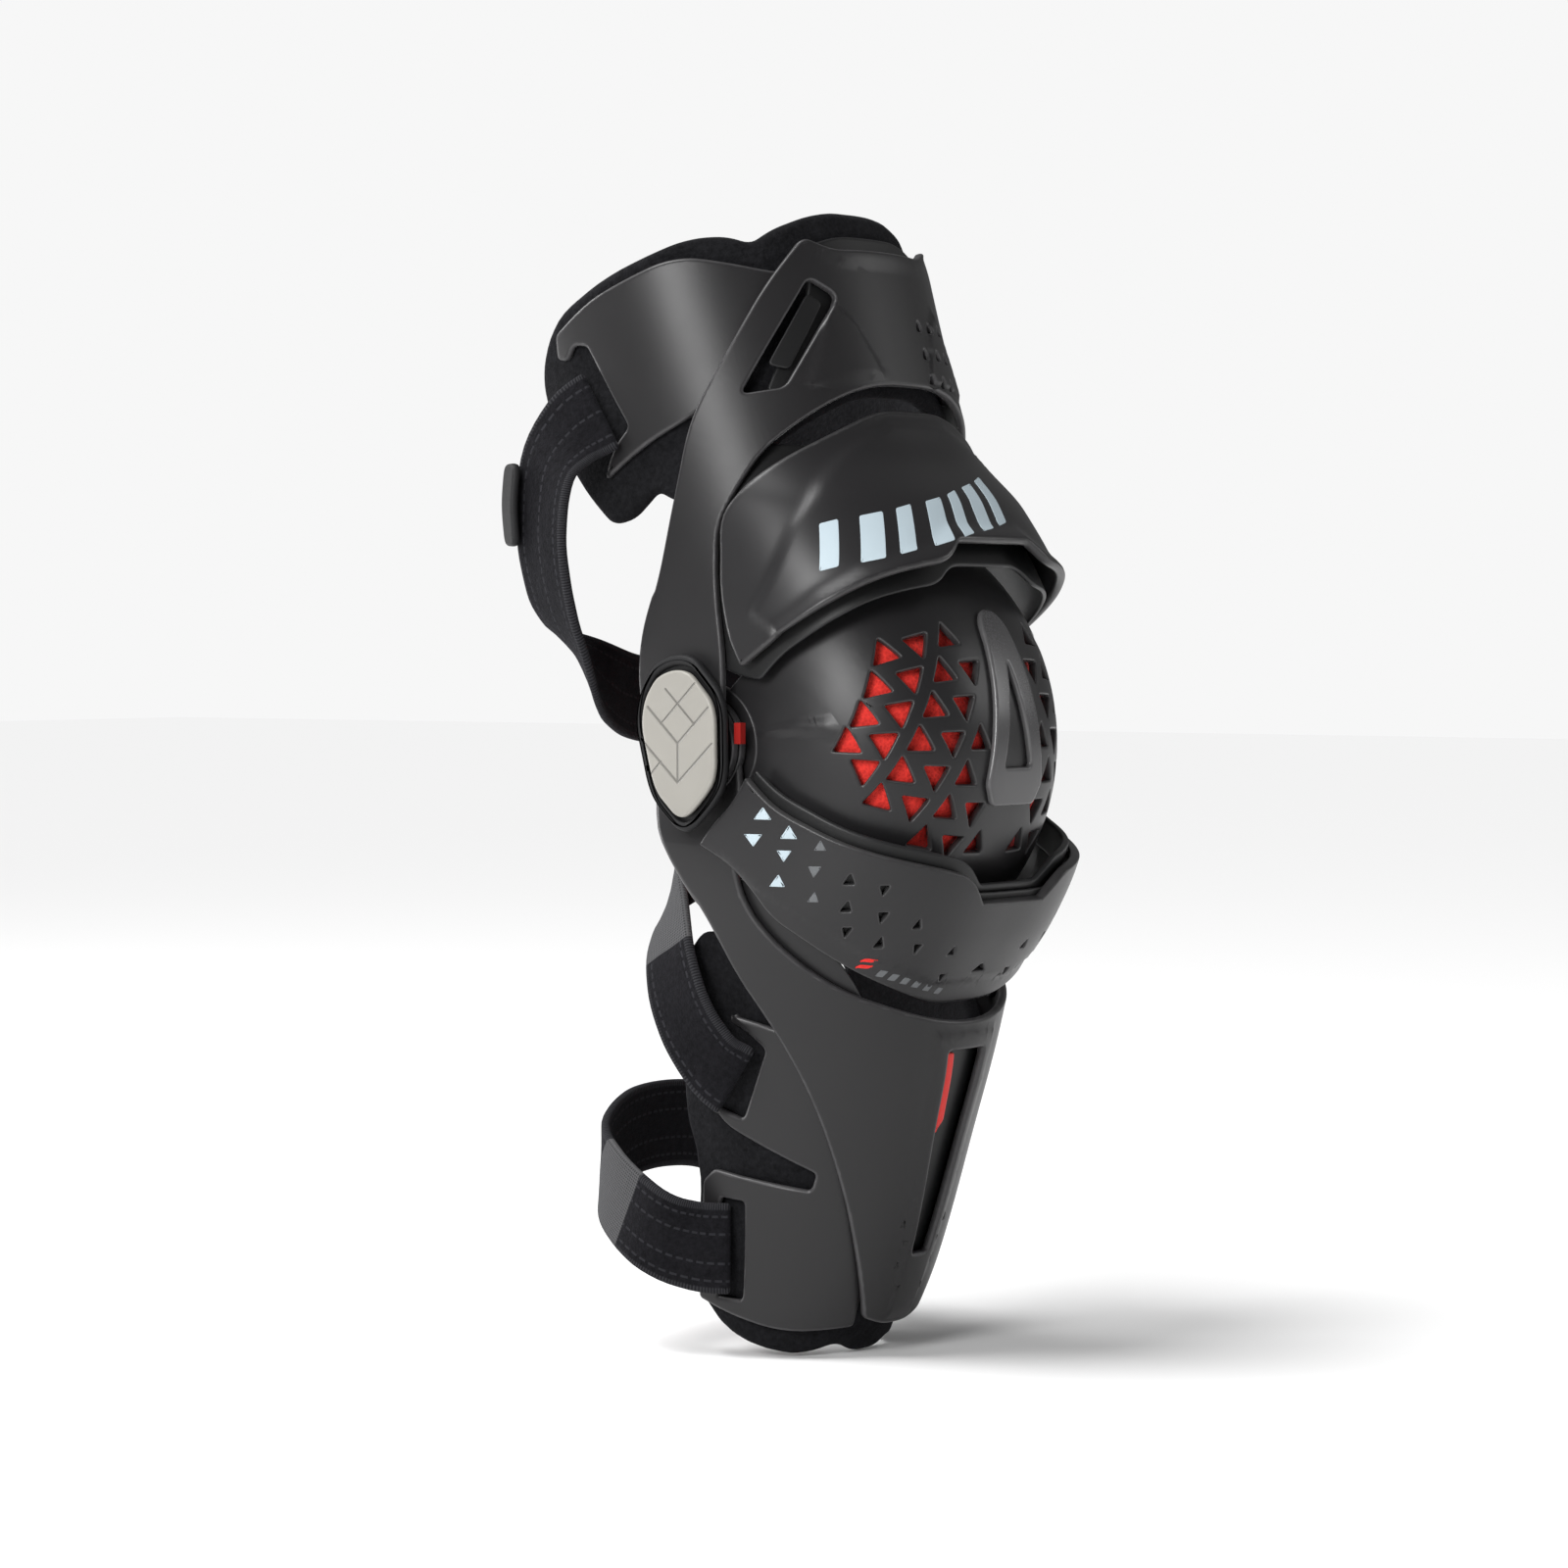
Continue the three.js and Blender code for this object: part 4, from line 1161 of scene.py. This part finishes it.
for i, (u, v) in enumerate(((-44.3, -70.4), (-45.2, -72.5))):
    piece = panel(
        f"shield_dash_red_{i + 1}", lower_form, slanted_dash(u, v, 5.0, 1.0), top=0.1, wall=0.4,
        rounding=0.05, corner=0.2, relief=lower_relief,
    )
    keep(piece, red_plastic, SHIN, "red_plastic")
for i in range(6):
    piece = panel(
        f"shield_dash_grey_{i + 1}", lower_form,
        slanted_dash(-37 + i * 5.2, -75.6 - i * 1.45, 3.2, 2.0), top=0.1, wall=0.4, rounding=0.05,
        corner=0.3, relief=lower_relief,
    )
    keep(piece, grey_print, SHIN, "grey_plastic")

lower_lip_half = [
    (8, -58), (15, -50), (22, -48), (44, -43), (59, -38), (76, -27), (82.5, -16), (81.5, -7),
    (76, -15.5), (59, -27), (44, -32), (22, -37), (14, -39.5), (7, -48),
]
piece = panel("lower_shield_flange", lower_form, both_sides(lower_lip_half), top=-4, wall=2.2)
keep(piece, black_plastic, SHIN, "black_plastic", "lower_shield_lip")

# --- hinges ---

cover_outline = [
    (-1.7, 30.5), (-6, 29), (-15.9, 18.6), (-18, 12), (-18.3, -8), (-17, -14), (-13, -19.5),
    (-6, -26.5), (-2, -28.5), (2, -27.5), (10.7, -19.2), (13.5, -13), (18.3, 6), (18.5, 11),
    (17, 19), (12, 26.5), (8, 29), (3, 30.5),
]


def scaled(points, k):
    return [(a * k, b * k) for a, b in points]


def ring(radius):
    count = 40
    turns = [i * 2 * math.pi / count for i in range(count)]
    return [(radius * math.cos(a), radius * math.sin(a)) for a in turns]


# Each frame and the cup end in bored eyes on the hinge pins: outer face, radius, thickness.
EYES = (
    ("thigh_eye", THIGH, 71.2, 17.5, 3.2),
    ("shin_eye", SHIN, 67, 17.5, 3.2),
    ("cup_eye", CUP, 62.6, 21, 3.0),
)
EYE_BORE = 5.3
# Outer faces of the hinge's plates, measured out from the middle of the knee.
BEZEL_FACE = 77.2
BASE_FACE = 75.2
COVER_FACE = 78.4
PAD_FACE = 58.3
HARDWARE_FINISHES = {
    "pivot_pin": steel,
    "hinge_housing": black_plastic,
    "extension_stop": dark_red_plastic,
}

for side, word in ((-1, "left"), (1, "right")):
    bezel = panel(
        f"hinge_bezel_ring_{word}", SideForm(side, BEZEL_FACE), cover_outline,
        [scaled(cover_outline, 0.88)], wall=3.5, rounding=1.4, pitch=2.5, corner=2,
    )
    keep(bezel, rubber, THIGH, "rubber", f"hinge_bezel_{word}")
    base = panel(
        f"hinge_base_{word}", SideForm(side, BASE_FACE), scaled(cover_outline, 0.92), wall=1.5,
        rounding=0.3, pitch=3,
    )
    keep(base, black_plastic, THIGH, "black_plastic")
    cover = panel(
        f"hinge_cover_plate_{word}", SideForm(side, COVER_FACE), scaled(cover_outline, 0.83),
        wall=2.6, rounding=0.9, pitch=2, corner=1.6,
    )
    keep(cover, grey_plastic, THIGH, "grey_plastic", f"hinge_cover_{word}")
    for name, body, face, radius, wall in EYES:
        eye = panel(
            f"{name}_{word}", SideForm(side, face), ring(radius), [ring(EYE_BORE)], wall=wall,
            rounding=0.6,
        )
        keep(eye, charcoal, body, "charcoal_plastic")
    pad = panel(
        f"condyle_cushion_{word}", SideForm(side, PAD_FACE), ring(20), wall=7.6, rounding=3.2,
        pitch=2, relief=fluff(0.4),
    )
    plumped(pad, voxel=4, cap=1.2, pressure=4)
    keep(pad, liner_fleece, THIGH, "liner_fabric", f"condyle_pad_{word}")
    for node, finish in HARDWARE_FINISHES.items():
        finish.on(bpy.data.objects[f"{node}_{word}"])

# --- straps ---


def strap_path(half):
    """A left half path, from its notch to the middle of the back, and its mirror image."""
    return half + [(-x, y, z, -360 - a) for x, y, z, a in half[-2::-1]]


def band_outline(run, width):
    half = width / 2
    return [(0, -half), (run.length, -half), (run.length, half), (0, half)]


thigh_strap_half = [
    (-72.6, 36.5, 112.5, -92), (-76.5, 45.5, 106, -96), (-81, 52.5, 94, -104),
    (-82.5, 54.5, 76, -110), (-81.5, 54, 59, -112), (-76, 52.5, 42, -116), (-65, 51, 29, -124),
    (-48, 53, 20, -140), (-24, 59, 15, -162), (0, 62, 14, -180),
]
calf_upper_half = [
    (-53.8, -6, -113, -91), (-57, 1.5, -107, -94), (-60.5, 9.5, -94, -98), (-60.5, 16, -78, -103),
    (-54.5, 22, -63, -110), (-43, 28, -50, -128), (-25, 35, -42.5, -155), (0, 39, -41, -180),
]
calf_lower_half = [
    (-43.9, 4, -171.3, -90), (-47.4, 10, -171.2, -90), (-49.6, 16, -170.5, -92),
    (-53.6, 24, -168, -97), (-55, 34, -163, -103), (-51, 49, -154, -116), (-41, 60.5, -146, -140),
    (-22, 66, -139, -162), (0, 68, -137, -180),
]

for name, half_path, width, finish, body, node in (
    ("thigh_strap_band", thigh_strap_half, 30, thigh_webbing, THIGH, "thigh_strap"),
    ("calf_strap_upper_band", calf_upper_half, 27, upper_webbing, SHIN, "calf_strap_upper"),
    ("calf_strap_lower_band", calf_lower_half, 31, lower_webbing, SHIN, "calf_strap_lower"),
):
    run = BandForm(strap_path(half_path))
    outline = band_outline(run, width)
    piece = panel(
        name, run, outline, top=1.5, wall=3.0, rounding=1.3, pitch=3, corner=1.5, relief=fluff(0.25)
    )
    keep(piece, finish, body, "strap_fabric", node)
    width * MM
    if node == "thigh_strap":
        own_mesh(piece)

thigh_tab_path = [(-81, 68.3, 95, -124), (-81.8, 69, 81, -125), (-80.6, 68.7, 67, -126)]
calf_tab_path = [(30, 40.4, -45, -206), (42.8, 37, -51, -218), (54.9, 31.2, -61, -234)]
for name, path, width, body, node in (
    ("thigh_strap_grip", thigh_tab_path, 12, THIGH, "thigh_strap_tab"),
    ("calf_strap_grip", calf_tab_path, 20, SHIN, "calf_strap_upper_tab"),
):
    run = BandForm(path, 60)
    outline = band_outline(run, width)
    piece = panel(name, run, outline, top=1.5, wall=3, rounding=1.2, pitch=2, corner=4)
    keep(piece, rubber, body, "rubber", node)
    if node == "thigh_strap_tab":
        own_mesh(piece)

# ---------- stage, light and camera ----------

FLOOR_SIZE = 16
FLOOR_GAP = 0.0005
floor_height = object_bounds()[0][2] - FLOOR_GAP
start_clean()
bpy.ops.mesh.primitive_plane_add(size=FLOOR_SIZE, location=(0, 0, 0))
floor = bpy.context.object
floor.name = "floor"
for v in floor.data.vertices:
    v.co.z = floor_height
floor_finish = Finish("floor_white", (0.86, 0.86, 0.86), 0.8, pattern=False, Specular_IOR_Level=0.0)
floor_finish.on(floor)

world = bpy.context.scene.world or bpy.data.worlds.new("studio")
bpy.context.scene.world = world
world.use_nodes = True
studio = world.node_tree
# The surroundings light the guard less than they show behind it.
SKY_ON_THE_GUARD = 0.2
SKY_IN_VIEW = 0.93
sky = studio.nodes["Background"]
sky.inputs["Color"].default_value = (1, 1, 1, 1)
seen = studio.nodes.new("ShaderNodeLightPath")
level = studio.nodes.new("ShaderNodeMapRange")
level.inputs["To Min"].default_value = SKY_ON_THE_GUARD
level.inputs["To Max"].default_value = SKY_IN_VIEW
studio.links.new(seen.outputs["Is Camera Ray"], level.inputs["Value"])
studio.links.new(level.outputs["Result"], sky.inputs["Strength"])
bpy.context.scene.view_settings.view_transform = "Standard"


def lamp(name, kind, place, power, **settings):
    """A light that faces the knee."""
    light = bpy.data.lights.new(name, kind)
    light.energy = power
    for key, value in settings.items():
        setattr(light, key, value)
    holder = bpy.data.objects.new(name, light)
    bpy.context.collection.objects.link(holder)
    holder.location = place
    holder.rotation_euler = (-Vector(place)).to_track_quat("-Z", "Y").to_euler()


lamp("broad_light", "SUN", (-0.45, 0.3, 1.0), 3.0, angle=math.radians(30))
lamp("rim_light", "AREA", (-0.25, 1.5, 0.9), 12, size=0.6)
lamp("edge_light", "AREA", (-0.55, 1.5, 0.0), 7, size=0.5)
lamp("side_light", "AREA", (-1.0, -0.2, 0.34), 8, size=0.35)
lamp("front_light", "AREA", (1.0, -1.0, 0.45), 2.5, size=0.5)

CAMERA_AZIMUTH = math.radians(-54)
CAMERA_ELEVATION = math.radians(2)
CAMERA_DISTANCE = 1.5
FOCAL_LENGTH = 99.6
SENSOR_WIDTH = 36
# The guard's middle lies a little to the left of the knee's centre and below it.
AIM_LEFT = 0.01085
AIM_DOWN = 0.01458
back = Vector(
    (
        math.sin(CAMERA_AZIMUTH) * math.cos(CAMERA_ELEVATION),
        -math.cos(CAMERA_AZIMUTH) * math.cos(CAMERA_ELEVATION),
        math.sin(CAMERA_ELEVATION),
    )
)
right = Vector((math.cos(CAMERA_AZIMUTH), math.sin(CAMERA_AZIMUTH), 0))
up = back.cross(right)
lens = bpy.data.cameras.new("camera")
lens.lens = FOCAL_LENGTH
lens.sensor_width = SENSOR_WIDTH
camera = bpy.data.objects.new("camera", lens)
bpy.context.collection.objects.link(camera)
camera.location = back * CAMERA_DISTANCE - right * AIM_LEFT - up * AIM_DOWN
camera.rotation_euler = back.to_track_quat("Z", "Y").to_euler()
bpy.context.scene.camera = camera
